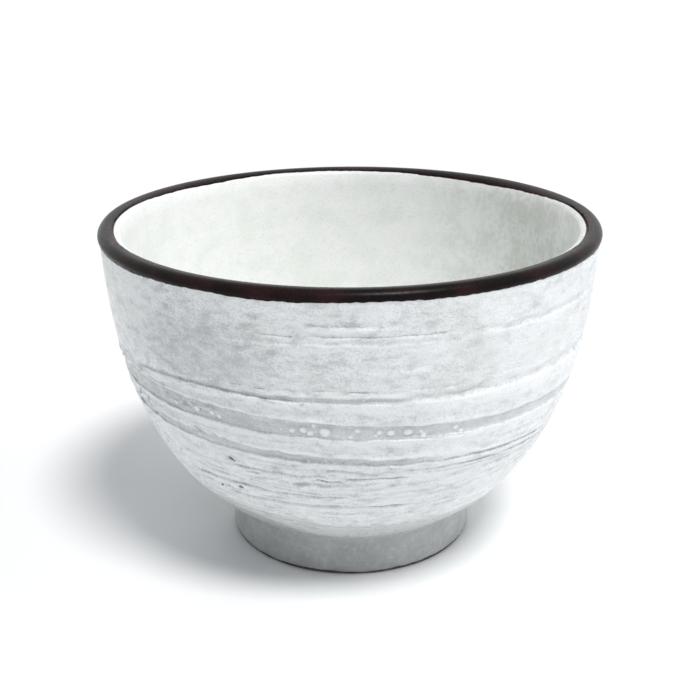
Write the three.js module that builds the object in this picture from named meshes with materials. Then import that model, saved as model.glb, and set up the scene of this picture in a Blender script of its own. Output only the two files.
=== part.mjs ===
// Thrown tea bowl: a stoneware body on a luted foot ring, under its fired coats of glaze.
// Millimetres, +Z up. The origin is the centre of the plane that the foot stands on.
// Turn angle 0 faces -Y, the bowl's front, and grows towards +X.
import * as THREE from 'three';

// The thrown form, over its glaze
const BOWL_HEIGHT = 74.6;
const RIM_RADIUS = 55;
const LIP_OUTER_ROUND = 1.65;
const LIP_RISE = 1.65;
const FOOT_RADIUS = 28;
const FOOT_FLARE = 0.3;
const FOOT_HEIGHT = 9.6;

// The wall's curve leaves the foot at a slant and ends under the lip with a slight lean outwards
const WALL_START_SLANT = THREE.MathUtils.degToRad(30.4);
const WALL_START_REACH = 31;
const WALL_END_LEAN = THREE.MathUtils.degToRad(12.9);
const WALL_END_REACH = 4.5;

// The clay
const CLAY_WALL = 3.35;
const FLOOR_THICKNESS = 5.6;
const FLOOR_ROUND = 9;
const FOOT_RING_HEIGHT = 6.5;
const FOOT_RING_WALL = 4.5;
const FOOT_EDGE_ROUND = 0.8;

// The coats of glaze
const OUTER_COAT = 0.9;
const INNER_COAT = 0.6;
const RIM_COAT = 0.8;
const FOOT_COAT = 0.5;
const WELL_COAT = 0.5;
const BAND_UNDER_LIP = THREE.MathUtils.degToRad(30);
const BAND_PAST_CREST = THREE.MathUtils.degToRad(49);
const FOOT_BARE_EDGE = 0.9;
const WELL_BARE_EDGE = 1.2;

// Parting between two fired layers, and how many partings the foot's coat stops below the wall's
const LAYER_GAP = 0.02;
const FOOT_COAT_STOP = 3;

// Throwing rings, from the lip down. A place is a share of the wall's rise from the foot to the
// dark band, a tilt is how far the ring climbs at the bowl's left and sinks at its right.
const RINGS = [
  { place: 0.888, tilt: 0, width: 1.0, depth: 0.2 },
  { place: 0.678, tilt: 0, width: 1.4, depth: 0.35 },
  { place: 0.574, tilt: 2.2, width: 3.4, depth: 0.4 },
  { place: 0.461, tilt: 3.2, width: 1.7, depth: 0.4 },
  { place: 0.374, tilt: 0.8, width: 1.1, depth: 0.25 },
  { place: 0.294, tilt: 0.8, width: 1.1, depth: 0.25 },
  { place: 0.242, tilt: 0, width: 1.0, depth: 0.2 },
  { place: 0.16, tilt: 0, width: 1.0, depth: 0.25 },
];
const PLAIN_PLACES = [0.94, 0.83, 0.75, 0.1, 0.05];
const RING_STEEP_SHARE = 0.25;
const RING_GENTLE_SHARE = 0.4;

// Fineness of the turned faces
const TURN_STEPS = 48;
const WALL_STEPS = 9;
const BAND_STEPS = 7;
const INNER_LIP_STEPS = 2;
const FLOOR_STEPS = 3;
const EDGE_STEPS = 3;
const HALVINGS = 40;

const point = (radius, height) => new THREE.Vector2(radius, height);

// The lip is round outside its crest and drawn out inside it, as wide as the wall.
const WALL_WIDTH = OUTER_COAT + CLAY_WALL + INNER_COAT;
const LIP_INNER_ROUND = WALL_WIDTH - LIP_OUTER_ROUND;
const LIP_CENTRE = point(RIM_RADIUS - LIP_OUTER_ROUND, BOWL_HEIGHT - LIP_RISE);

// A point of the lip, depth below its glazed face. Angle 0 faces outwards and a quarter turn is the crest.
function lipPoint(angle, depth) {
  const round = angle > Math.PI / 2 ? LIP_INNER_ROUND : LIP_OUTER_ROUND;
  return point(
    LIP_CENTRE.x + (round - depth) * Math.cos(angle),
    LIP_CENTRE.y + (LIP_RISE - depth) * Math.sin(angle),
  );
}

function lipPoints(from, to, steps, depth) {
  const points = [];
  for (let i = 0; i <= steps; i += 1) {
    points.push(lipPoint(from + ((to - from) * i) / steps, depth));
  }
  return points;
}

const BAND_START = -BAND_UNDER_LIP;
const BAND_END = Math.PI / 2 + BAND_PAST_CREST;
const WALL_START = point(FOOT_RADIUS + FOOT_FLARE, FOOT_HEIGHT);
const WALL_END = lipPoint(BAND_START, 0);
const WALL_CURVE = new THREE.CubicBezierCurve(
  WALL_START,
  point(
    WALL_START.x + WALL_START_REACH * Math.cos(WALL_START_SLANT),
    WALL_START.y + WALL_START_REACH * Math.sin(WALL_START_SLANT),
  ),
  point(
    WALL_END.x - WALL_END_REACH * Math.sin(WALL_END_LEAN),
    WALL_END.y - WALL_END_REACH * Math.cos(WALL_END_LEAN),
  ),
  WALL_END,
);

// A point at a share of the wall's curve, depth below its glazed face.
function wallPoint(share, depth) {
  const along = WALL_CURVE.getTangent(share);
  const onCurve = WALL_CURVE.getPoint(share);
  return point(onCurve.x - depth * along.y, onCurve.y + depth * along.x);
}

function wallPoints(depth) {
  const points = [];
  for (let i = 0; i <= WALL_STEPS; i += 1) {
    points.push(wallPoint(i / WALL_STEPS, depth));
  }
  return points;
}

// The share of the wall's curve at a height, by halving.
function shareAtHeight(height) {
  let low = 0;
  let high = 1;
  for (let i = 0; i < HALVINGS; i += 1) {
    const middle = (low + high) / 2;
    if (WALL_CURVE.getPoint(middle).y < height) {
      low = middle;
    } else {
      high = middle;
    }
  }
  return (low + high) / 2;
}

// The dished floor, from the wall's foot to the axis, cover above the clay.
function floorPoints(wallFoot, cover) {
  const level = FOOT_RING_HEIGHT + FLOOR_THICKNESS + cover;
  const dish = new THREE.QuadraticBezierCurve(
    wallFoot,
    point(wallFoot.x - FLOOR_ROUND, level),
    point(0, level),
  );
  return dish.getPoints(FLOOR_STEPS).slice(1);
}

// The bowl's inside, from the rim band's inner edge down to the axis, depth below the glaze.
function insidePoints(depth) {
  const lip = lipPoints(BAND_END, Math.PI, INNER_LIP_STEPS, depth);
  const wall = wallPoints(WALL_WIDTH - depth)
    .filter((place) => place.y < LIP_CENTRE.y - LIP_RISE)
    .reverse();
  return [...lip, ...wall, ...floorPoints(wall.at(-1), INNER_COAT - depth)];
}

// A solid turned round the axis from its half section, listed with the solid on the left.
function turned(section) {
  return new THREE.LatheGeometry(section, TURN_STEPS).rotateX(Math.PI / 2);
}

function closed(section) {
  return turned([...section, section[0].clone()]);
}

function quarterRound(centre, from) {
  const points = [];
  for (let i = 0; i <= EDGE_STEPS; i += 1) {
    const angle = from + (Math.PI / 2) * (i / EDGE_STEPS);
    points.push(
      point(
        centre.x + FOOT_EDGE_ROUND * Math.cos(angle),
        centre.y + FOOT_EDGE_ROUND * Math.sin(angle),
      ),
    );
  }
  return points;
}

// The foot's clay face rises from its rounded edge to the clay under the wall's start.
const CLAY_WALL_START = wallPoint(0, OUTER_COAT);
const FOOT_CLAY_BASE = point(FOOT_RADIUS - FOOT_COAT, FOOT_EDGE_ROUND);
const FOOT_BORE_RADIUS = FOOT_CLAY_BASE.x - FOOT_RING_WALL;

function footClayAt(height) {
  const share =
    (height - FOOT_CLAY_BASE.y) / (CLAY_WALL_START.y - FOOT_CLAY_BASE.y);
  return FOOT_CLAY_BASE.clone().lerp(CLAY_WALL_START, share);
}

function stonewareBody() {
  return turned([
    point(0, FOOT_RING_HEIGHT),
    footClayAt(FOOT_RING_HEIGHT),
    ...wallPoints(OUTER_COAT),
    ...lipPoints(BAND_START, BAND_END, BAND_STEPS, RIM_COAT),
    ...insidePoints(INNER_COAT),
  ]);
}

function footRing() {
  const innerEdge = point(FOOT_BORE_RADIUS + FOOT_EDGE_ROUND, FOOT_EDGE_ROUND);
  const outerEdge = point(FOOT_CLAY_BASE.x - FOOT_EDGE_ROUND, FOOT_EDGE_ROUND);
  return closed([
    ...quarterRound(innerEdge, Math.PI),
    ...quarterRound(outerEdge, -Math.PI / 2),
    footClayAt(FOOT_RING_HEIGHT),
    point(FOOT_BORE_RADIUS, FOOT_RING_HEIGHT),
  ]);
}

// Rows of the outer coat's face from the foot up, each with its height, tilt and depth.
function ringRows() {
  const rise = WALL_END.y - WALL_START.y;
  const rows = PLAIN_PLACES.map((place) => ({
    height: WALL_START.y + rise * place,
    tilt: 0,
    depth: 0,
  }));
  for (const { place, tilt, width, depth } of RINGS) {
    const top = WALL_START.y + rise * place + width / 2;
    rows.push(
      { height: top, tilt, depth: 0 },
      { height: top - width * RING_STEEP_SHARE, tilt, depth },
      { height: top - width * (1 - RING_GENTLE_SHARE), tilt, depth },
      { height: top - width, tilt, depth: 0 },
    );
  }
  rows.push({ height: WALL_START.y, tilt: 0, depth: 0 });
  rows.push({ height: WALL_END.y, tilt: 0, depth: 0 });
  return rows.sort((a, b) => a.height - b.height);
}

function outerGlaze() {
  const rows = ringRows();
  const face = rows.map((row) =>
    wallPoint(shareAtHeight(row.height), row.depth),
  );
  const back = wallPoints(OUTER_COAT - LAYER_GAP).reverse();
  const section = [...face, ...back, face[0].clone()];
  const geometry = new THREE.LatheGeometry(section, TURN_STEPS);
  const places = geometry.attributes.position;
  for (let step = 0; step <= TURN_STEPS; step += 1) {
    const turn = (step / TURN_STEPS) * Math.PI * 2;
    rows.forEach((row, index) => {
      if (row.tilt !== 0) {
        const height = row.height - row.tilt * Math.sin(turn);
        const { x, y } = wallPoint(shareAtHeight(height), row.depth);
        const vertex = step * section.length + index;
        places.setXYZ(vertex, x * Math.sin(turn), y, x * Math.cos(turn));
      }
    });
  }
  return geometry.rotateX(Math.PI / 2);
}

function innerGlaze() {
  const clayFace = insidePoints(INNER_COAT - LAYER_GAP).reverse();
  return turned([...clayFace, ...insidePoints(0)]);
}

function rimGlaze() {
  const trim = LAYER_GAP / LIP_OUTER_ROUND;
  const from = BAND_START + trim;
  const to = BAND_END - trim;
  const back = lipPoints(from, to, BAND_STEPS, RIM_COAT - LAYER_GAP).reverse();
  return closed([...lipPoints(from, to, BAND_STEPS, 0), ...back]);
}

// The foot's coat stops just short of the wall's, which ends square to the wall's start.
function footGlaze() {
  const offClay = point(LAYER_GAP, 0);
  const belowWall = CLAY_WALL_START.y - LAYER_GAP * FOOT_COAT_STOP;
  return closed([
    point(FOOT_RADIUS, FOOT_BARE_EDGE),
    WALL_START.clone().sub(point(0, LAYER_GAP)),
    footClayAt(belowWall).add(offClay),
    footClayAt(FOOT_RING_HEIGHT).add(offClay),
    footClayAt(FOOT_BARE_EDGE).add(offClay),
  ]);
}

function footWellGlaze() {
  const radius = FOOT_BORE_RADIUS - LAYER_GAP;
  const roof = FOOT_RING_HEIGHT - LAYER_GAP;
  return turned([
    point(0, FOOT_RING_HEIGHT - WELL_COAT),
    point(FOOT_BORE_RADIUS - WELL_COAT, FOOT_RING_HEIGHT - WELL_COAT),
    point(FOOT_BORE_RADIUS - WELL_COAT, WELL_BARE_EDGE),
    point(radius, WELL_BARE_EDGE),
    point(radius, roof),
    point(0, roof),
  ]);
}

function piece(name, geometry, color, roughness) {
  const finish = new THREE.MeshStandardMaterial({ color, roughness, metalness: 0 });
  const mesh = new THREE.Mesh(geometry, finish);
  mesh.name = name;
  return mesh;
}

const bowl = new THREE.Group();
bowl.add(
  piece('stoneware_body', stonewareBody(), 0x5a4a40, 0.9),
  piece('foot_ring', footRing(), 0x4a3c34, 0.9),
  piece('outer_glaze', outerGlaze(), 0xdfe2e0, 0.4),
  piece('inner_glaze', innerGlaze(), 0xe8ebe6, 0.35),
  piece('rim_glaze', rimGlaze(), 0x1e1416, 0.3),
  piece('foot_glaze', footGlaze(), 0xa9aaa7, 0.5),
  piece('foot_well_glaze', footWellGlaze(), 0xa2a39f, 0.5),
);

export default bowl;
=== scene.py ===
"""A thrown tea bowl in its finishes: ringed pale glaze, dark lip band, liner, grey foot and bare clay."""

import logging
import math
import random
from dataclasses import dataclass
from enum import Enum
from functools import cached_property
from typing import Callable, ClassVar, Protocol, Sequence

import bmesh
import bpy
import numpy as np
from mathutils import Matrix, Vector, noise


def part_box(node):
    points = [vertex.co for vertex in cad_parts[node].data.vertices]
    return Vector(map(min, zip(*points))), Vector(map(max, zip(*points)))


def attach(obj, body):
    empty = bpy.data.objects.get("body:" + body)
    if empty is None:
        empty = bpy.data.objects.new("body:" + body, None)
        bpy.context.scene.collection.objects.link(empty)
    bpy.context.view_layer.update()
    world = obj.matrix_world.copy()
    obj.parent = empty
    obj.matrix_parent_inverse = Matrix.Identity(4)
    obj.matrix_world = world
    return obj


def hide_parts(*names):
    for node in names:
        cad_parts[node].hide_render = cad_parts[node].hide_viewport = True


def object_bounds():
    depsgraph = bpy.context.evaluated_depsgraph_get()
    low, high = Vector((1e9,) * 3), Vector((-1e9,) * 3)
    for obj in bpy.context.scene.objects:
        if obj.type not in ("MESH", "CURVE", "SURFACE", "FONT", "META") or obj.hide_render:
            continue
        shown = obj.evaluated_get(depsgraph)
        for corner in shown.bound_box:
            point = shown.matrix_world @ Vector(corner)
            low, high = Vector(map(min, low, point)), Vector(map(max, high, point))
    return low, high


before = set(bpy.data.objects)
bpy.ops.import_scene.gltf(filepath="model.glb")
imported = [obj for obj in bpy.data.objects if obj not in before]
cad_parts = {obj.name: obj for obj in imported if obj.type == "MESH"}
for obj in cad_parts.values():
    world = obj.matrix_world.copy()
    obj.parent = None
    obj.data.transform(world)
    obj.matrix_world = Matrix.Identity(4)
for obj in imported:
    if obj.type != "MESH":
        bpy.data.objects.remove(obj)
CAD_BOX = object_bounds()

LOG = logging.getLogger("tea_bowl")
MM = 0.001
BODY = "root"
MERGE_DISTANCE = 1e-7
MEAN_RADIUS = 47.0
CURVE_SAMPLES = 400

Place = tuple[float, float]
Colour = tuple[float, float, float, float]
Value = bpy.types.NodeSocket | float


class Slot(Enum):
    """Material slots of the record that the pieces take their finish from."""

    STONEWARE = "stoneware"
    BARE_CLAY = "bare_clay"
    PALE_GLAZE = "pale_glaze"
    LINER_GLAZE = "liner_glaze"
    IRON_GLAZE = "iron_glaze"
    GREY_GLAZE = "grey_glaze"
    WELL_GLAZE = "well_glaze"


class Mark(Enum):
    """Amounts kept on a mesh's points, which its finish reads."""

    GREY = "grey_in_groove"
    # Dark lines at the grooves: thin glaze and painted shade in the recesses.
    LINE = "dark_line"
    # White ridges: thick glaze and a painted highlight.
    RIDGE = "white_ridge"
    DOME = "white_dome"
    HALO = "dome_halo"
    PIT = "pinhole"
    EDGE = "thin_edge"
    # Heights along the rows, lowered at the lower left as painted shade.
    PLACE = "row_place"


def eased(value: np.ndarray, low: float, high: float) -> np.ndarray:
    """Rises smoothly from 0 at low to 1 at high.

    Args:
        value: The amounts to ease.
        low: Where the rise begins.
        high: Where it ends.

    Returns:
        Numbers between 0 and 1.
    """
    share = np.clip((value - low) / (high - low), 0.0, 1.0)
    return share * share * (3.0 - 2.0 * share)


def hump(value: np.ndarray, low: float, high: float, past: float, gone: float) -> np.ndarray:
    """Rises smoothly from 0 at low to 1 at high, and falls again from past to gone."""
    return eased(value, low, high) * (1.0 - eased(value, past, gone))


def turned_from(turn: np.ndarray, middle: float) -> np.ndarray:
    """Angles from a middle, in radians between minus and plus half a turn."""
    return (turn - middle + math.pi) % math.tau - math.pi


def ragged(turn: np.ndarray, seed: int, lowest: int, highest: int) -> np.ndarray:
    """An uneven line that closes on itself round the bowl.

    Args:
        turn: Angles round the bowl, in radians.
        seed: Picks the line.
        lowest: Fewest waves in a turn.
        highest: Most waves in a turn, each smaller the more there are.

    Returns:
        The line's rise at each angle, about as large as 1.
    """
    draws = random.Random(seed)
    angles = np.linspace(-math.pi, math.pi, 4097)
    rise = np.zeros_like(angles)
    power = 0.0
    for waves in range(lowest, highest + 1):
        size = draws.uniform(0.4, 1.0) * math.sqrt(lowest / waves)
        rise += size * np.cos(waves * angles + draws.uniform(0.0, math.tau))
        power += size * size
    return np.interp(turn, angles, rise / math.sqrt(power))


def lumps(turn: np.ndarray, place: np.ndarray, along: float, across: float, seed: float) -> np.ndarray:
    """Soft noise on the wall, stretched along its rows.

    Args:
        turn: Angles round the bowl, in radians.
        place: Heights on the wall's rows, in millimetres.
        along: Length of the noise's lumps along the rows, in millimetres.
        across: Their height.
        seed: Picks the noise.

    Returns:
        Numbers about 0, mostly within 0.5 of it.
    """
    reach = MEAN_RADIUS / along
    points = np.column_stack((np.cos(turn) * reach, np.sin(turn) * reach, place / across + seed))
    return np.array([noise.noise(point) for point in points.tolist()])


@dataclass(frozen=True)
class Outline:
    """The bowl's half outline over its glaze, in millimetres from the axis and from the ground.

    Attributes:
        rim_radius: Radius of the lip's outermost line.
        height: Height of the lip's crest.
        foot_radius: Radius of the foot at the ground.
        foot_height: Height of the corner between foot and wall.
        foot_flare: How much wider the foot is at that corner.
        lip_round: Radius of the lip outside its crest, and its rise.
        wall_width: Thickness of wall and glaze together.
        start_slant: Slant of the wall where it leaves the foot, in degrees.
        start_reach: Reach of the wall's curve from the foot.
        end_lean: Lean of the wall at the lip, in degrees.
        end_reach: Reach of the wall's curve from the lip.
        wall_end: Lip angle at which the wall begins, in degrees.
        fillet: Height of the glaze that fills the corner over the foot.
        floor_level: Height of the inside's floor.
        floor_round: How softly the floor turns into the wall.
        lip_dip: How much lower the lip is at the front.
    """

    rim_radius: float
    height: float
    foot_radius: float
    foot_height: float
    foot_flare: float = 0.3
    lip_round: float = 1.65
    wall_width: float = 4.85
    start_slant: float = 30.4
    start_reach: float = 31.0
    end_lean: float = 12.9
    end_reach: float = 4.5
    wall_end: float = -30.0
    fillet: float = 0.9
    floor_level: float = 12.7
    floor_round: float = 9.0
    lip_dip: float = 0.35

    @classmethod
    def from_frame(cls) -> "Outline":
        """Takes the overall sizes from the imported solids.

        Returns:
            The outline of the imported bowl.
        """
        wall_low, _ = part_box("outer_glaze")
        _, foot_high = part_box("foot_glaze")
        return cls(
            rim_radius=CAD_BOX[1].x / MM,
            height=CAD_BOX[1].z / MM,
            foot_radius=foot_high.x / MM - cls.foot_flare,
            foot_height=wall_low.z / MM,
        )

    def lip(self, degrees: np.ndarray) -> np.ndarray:
        """Points of the lip, round outside its crest and drawn out inside it.

        Args:
            degrees: Angles round the lip, 0 outwards and 90 at the crest.

        Returns:
            Rows of radius and height.
        """
        angle = np.radians(degrees)
        reach = np.where(degrees > 90.0, self.wall_width - self.lip_round, self.lip_round)
        radius = self.rim_radius - self.lip_round + reach * np.cos(angle)
        return np.column_stack((radius, self.height - self.lip_round + self.lip_round * np.sin(angle)))

    @cached_property
    def wall_curve(self) -> np.ndarray:
        """Rows of radius and height along the bare curve of the wall, from the foot to the lip."""
        start = np.array((self.foot_radius + self.foot_flare, self.foot_height))
        end = self.lip(np.array([self.wall_end]))[0]
        slant = math.radians(self.start_slant)
        lean = math.radians(self.end_lean)
        lower = start + self.start_reach * np.array((math.cos(slant), math.sin(slant)))
        upper = end - self.end_reach * np.array((math.sin(lean), math.cos(lean)))
        share = np.linspace(0.0, 1.0, CURVE_SAMPLES)[:, None]
        rest = 1.0 - share
        return rest**3 * start + 3 * rest**2 * share * lower + 3 * rest * share**2 * upper + share**3 * end

    @cached_property
    def outside(self) -> np.ndarray:
        """Rows of radius and height up the outside, from the foot over the filled corner to the lip."""
        wall = self.wall_curve
        corner = wall[0]
        below = corner - np.array((self.foot_flare / self.foot_height * self.fillet, self.fillet))
        wall = wall[wall[:, 1] > corner[1] + self.fillet]
        share = np.linspace(0.0, 1.0, 12)[:, None]
        fill = (1 - share) ** 2 * below + 2 * (1 - share) * share * corner + share**2 * wall[0]
        foot = np.column_stack((
            np.linspace(self.foot_radius, below[0], 20),
            np.linspace(0.0, below[1], 20),
        ))
        return np.vstack((foot[:-1], fill[:-1], wall[:-1], self.lip(np.linspace(self.wall_end, -2.0, 12))))

    @cached_property
    def inside(self) -> np.ndarray:
        """Rows of radius and height down the inside, from the lip's crest to the middle of the floor."""
        wall = self.wall_curve
        along = np.gradient(wall, axis=0)
        along /= np.linalg.norm(along, axis=1)[:, None]
        inner = wall + self.wall_width * np.column_stack((-along[:, 1], along[:, 0]))
        inner = inner[inner[:, 1] < self.height - 2 * self.lip_round][::-1]
        foot = inner[-1]
        control = np.array((foot[0] - self.floor_round, self.floor_level))
        middle = np.array((0.0, self.floor_level))
        share = np.linspace(0.0, 1.0, 60)[:, None]
        floor = (1 - share) ** 2 * foot + 2 * (1 - share) * share * control + share**2 * middle
        return np.vstack((self.lip(np.linspace(90.0, 180.0, 40)), inner, floor[1:]))

    @cached_property
    def rim_line(self) -> "Line":
        """The outline over the lip, from well down the outside to well down the inside."""
        outer = self.outside[self.outside[:, 1] > self.height - 8.0]
        inner = self.inside[self.inside[:, 1] > self.height - 8.0]
        over = self.lip(np.linspace(0.0, 90.0, 40))
        return Line(np.vstack((outer, over[:-1], inner)))

    def dipped(self, height: np.ndarray, turn: np.ndarray) -> np.ndarray:
        """Heights near the lip, which dips a little at the front.

        Args:
            height: Heights on an even lip.
            turn: Angles round the bowl.

        Returns:
            Heights on the real lip.
        """
        near_crest = eased(height, self.height - 2.1, self.height - 0.4)
        return height - self.lip_dip * near_crest * eased(np.cos(turn), -0.2, 0.4)

    def outside_at(self, height: np.ndarray, depth: np.ndarray) -> np.ndarray:
        """Points of the outside, sunk below its face.

        Args:
            height: Heights on the face.
            depth: How deep below the face each point lies.

        Returns:
            Rows of radius and height.
        """
        radii, heights = self.outside.T
        radius = np.interp(height, heights, radii)
        slope = np.interp(height, heights, np.gradient(radii, heights))
        length = np.sqrt(1.0 + slope * slope)
        return np.column_stack((radius - depth / length, height + depth * slope / length))


@dataclass(frozen=True)
class Line:
    """A line of the outline that is measured along its length.

    Attributes:
        points: Rows of radius and height, with the clay on the line's left.
    """

    points: np.ndarray

    @cached_property
    def length(self) -> np.ndarray:
        """Length from the line's start to each of its points."""
        steps = np.linalg.norm(np.diff(self.points, axis=0), axis=1)
        return np.concatenate(([0.0], np.cumsum(steps)))

    @cached_property
    def inwards(self) -> np.ndarray:
        """Directions from each point into the clay."""
        along = np.gradient(self.points, self.length, axis=0)
        along /= np.linalg.norm(along, axis=1)[:, None]
        return np.column_stack((-along[:, 1], along[:, 0]))

    def at(self, length: np.ndarray, depth: np.ndarray) -> np.ndarray:
        """Points at lengths along the line, sunk below it.

        Args:
            length: Lengths from the line's start.
            depth: How deep below the line each point lies.

        Returns:
            Rows of radius and height.
        """
        columns = []
        for axis in range(2):
            on_line = np.interp(length, self.length, self.points[:, axis])
            columns.append(on_line + depth * np.interp(length, self.length, self.inwards[:, axis]))
        return np.column_stack(columns)

    def at_height(self, height: np.ndarray, past_top: bool) -> np.ndarray:
        """Lengths at which the line stands at given heights.

        Args:
            height: The heights.
            past_top: Whether the stretch after the line's highest point is meant.

        Returns:
            Lengths from the line's start.
        """
        top = int(np.argmax(self.points[:, 1]))
        if past_top:
            return np.interp(-height, -self.points[top:, 1], self.length[top:])
        return np.interp(height, self.points[: top + 1, 1], self.length[: top + 1])


class Turning:
    """A half section turned round the bowl's axis into a closed mesh, whose points can then be moved."""

    DOUBLINGS = 4

    def __init__(self, face: np.ndarray, back: np.ndarray, steps: int) -> None:
        """Turns a section.

        Args:
            face: Rows of radius and height of the side that shows, with the solid on its left.
            back: Rows that close the section behind the face.
            steps: Flat faces in a turn.
        """
        section = np.vstack((face, back))
        self.mesh = bmesh.new()
        self.face_layer = self.mesh.verts.layers.float.new("face")
        self.row_layer = self.mesh.verts.layers.float.new("row")
        verts = []
        for row, (radius, height) in enumerate(section):
            vert = self.mesh.verts.new((0.0, -radius * MM, height * MM))
            vert[self.face_layer] = float(row < len(face))
            vert[self.row_layer] = float(row)
            verts.append(vert)
        edges = [self.mesh.edges.new(pair) for pair in zip(verts, verts[1:])]
        if max(section[0][0], section[-1][0]) > 0.0:
            edges.append(self.mesh.edges.new((verts[-1], verts[0])))
        sector = math.tau / 2**self.DOUBLINGS
        bmesh.ops.spin(
            self.mesh,
            geom=verts + edges,
            cent=(0.0, 0.0, 0.0),
            axis=(0.0, 0.0, 1.0),
            angle=sector,
            steps=steps // 2**self.DOUBLINGS,
        )
        for doubling in range(self.DOUBLINGS):
            whole = list(self.mesh.verts) + list(self.mesh.edges) + list(self.mesh.faces)
            copied = bmesh.ops.duplicate(self.mesh, geom=whole)["geom"]
            bmesh.ops.rotate(
                self.mesh,
                verts=[part for part in copied if isinstance(part, bmesh.types.BMVert)],
                cent=(0.0, 0.0, 0.0),
                matrix=Matrix.Rotation(sector * 2**doubling, 3, "Z"),
            )
        bmesh.ops.remove_doubles(self.mesh, verts=self.mesh.verts, dist=MERGE_DISTANCE)
        bmesh.ops.recalc_face_normals(self.mesh, faces=self.mesh.faces)

    def refine(self, near: Callable[[np.ndarray, np.ndarray], np.ndarray], cuts: int) -> None:
        """Divides some faces of the section's face.

        Args:
            near: Tells from the angles and heights of the faces' middles which of them are divided.
            cuts: Cuts across each edge.
        """
        layer = self.face_layer
        faces = [face for face in self.mesh.faces if all(vert[layer] > 0.5 for vert in face.verts)]
        middles = np.array([face.calc_center_median() for face in faces])
        chosen = near(np.arctan2(middles[:, 0], -middles[:, 1]), middles[:, 2] / MM)
        edges = list(dict.fromkeys(edge for face, cut in zip(faces, chosen) if cut for edge in face.edges))
        bmesh.ops.subdivide_edges(self.mesh, edges=edges, cuts=cuts, use_grid_fill=True)

    def finish(self, name: str, crease: float = 50.0) -> "Piece":
        """Makes an object of the mesh.

        Args:
            name: The object's name.
            crease: Angle between faces, in degrees, from which their edge stays sharp.

        Returns:
            The piece, with its points at hand.
        """
        for face in self.mesh.faces:
            face.smooth = True
        for edge in self.mesh.edges:
            edge.smooth = edge.calc_face_angle(0.0) < math.radians(crease)
        data = bpy.data.meshes.new(name)
        self.mesh.to_mesh(data)
        self.mesh.free()
        piece = bpy.data.objects.new(name, data)
        bpy.context.scene.collection.objects.link(piece)
        return Piece(piece)


class Piece:
    """An object of the bowl with its points as columns of numbers."""

    def __init__(self, thing: bpy.types.Object) -> None:
        """Reads the points of an object.

        Args:
            thing: The object, made by a Turning.
        """
        self.thing = thing
        data = thing.data
        flat = np.empty(len(data.vertices) * 3)
        data.vertices.foreach_get("co", flat)
        points = flat.reshape(-1, 3) / MM
        self.turn = np.arctan2(points[:, 0], -points[:, 1])
        self.radius = np.hypot(points[:, 0], points[:, 1])
        self.height = points[:, 2].copy()
        self.is_face = self.read("face") > 0.5
        self.row = self.read("row")
        for layer in ("face", "row"):
            data.attributes.remove(data.attributes[layer])

    def read(self, layer: str) -> np.ndarray:
        """Reads the amounts of a layer.

        Args:
            layer: The layer's name.

        Returns:
            One amount for each point.
        """
        amounts = np.empty(len(self.thing.data.vertices))
        self.thing.data.attributes[layer].data.foreach_get("value", amounts)
        return amounts

    def mark(self, mark: Mark, amounts: np.ndarray) -> None:
        """Keeps an amount on each point for the finish.

        Args:
            mark: What the amounts mean.
            amounts: One number for each point.
        """
        layer = self.thing.data.attributes.new(mark.value, "FLOAT", "POINT")
        layer.data.foreach_set("value", amounts.astype(np.float32))

    def move(self, places: np.ndarray, chosen: np.ndarray) -> None:
        """Gives points a new radius and height.

        Args:
            places: Rows of radius and height, in millimetres, for the chosen points.
            chosen: Which points move.
        """
        self.radius[chosen] = places[:, 0]
        self.height[chosen] = places[:, 1]

    def settle(self, node: str, material: bpy.types.Material) -> bpy.types.Object:
        """Writes the points back and puts the piece in the node's place.

        Args:
            node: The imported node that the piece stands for.
            material: Its finish.

        Returns:
            The finished object.
        """
        points = np.column_stack((
            self.radius * np.sin(self.turn),
            -self.radius * np.cos(self.turn),
            self.height,
        ))
        self.thing.data.vertices.foreach_set("co", (points * MM).ravel())
        self.thing.data.update()
        self.thing.data.materials.append(material)
        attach(self.thing, BODY)
        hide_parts(node)
        return self.thing


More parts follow.
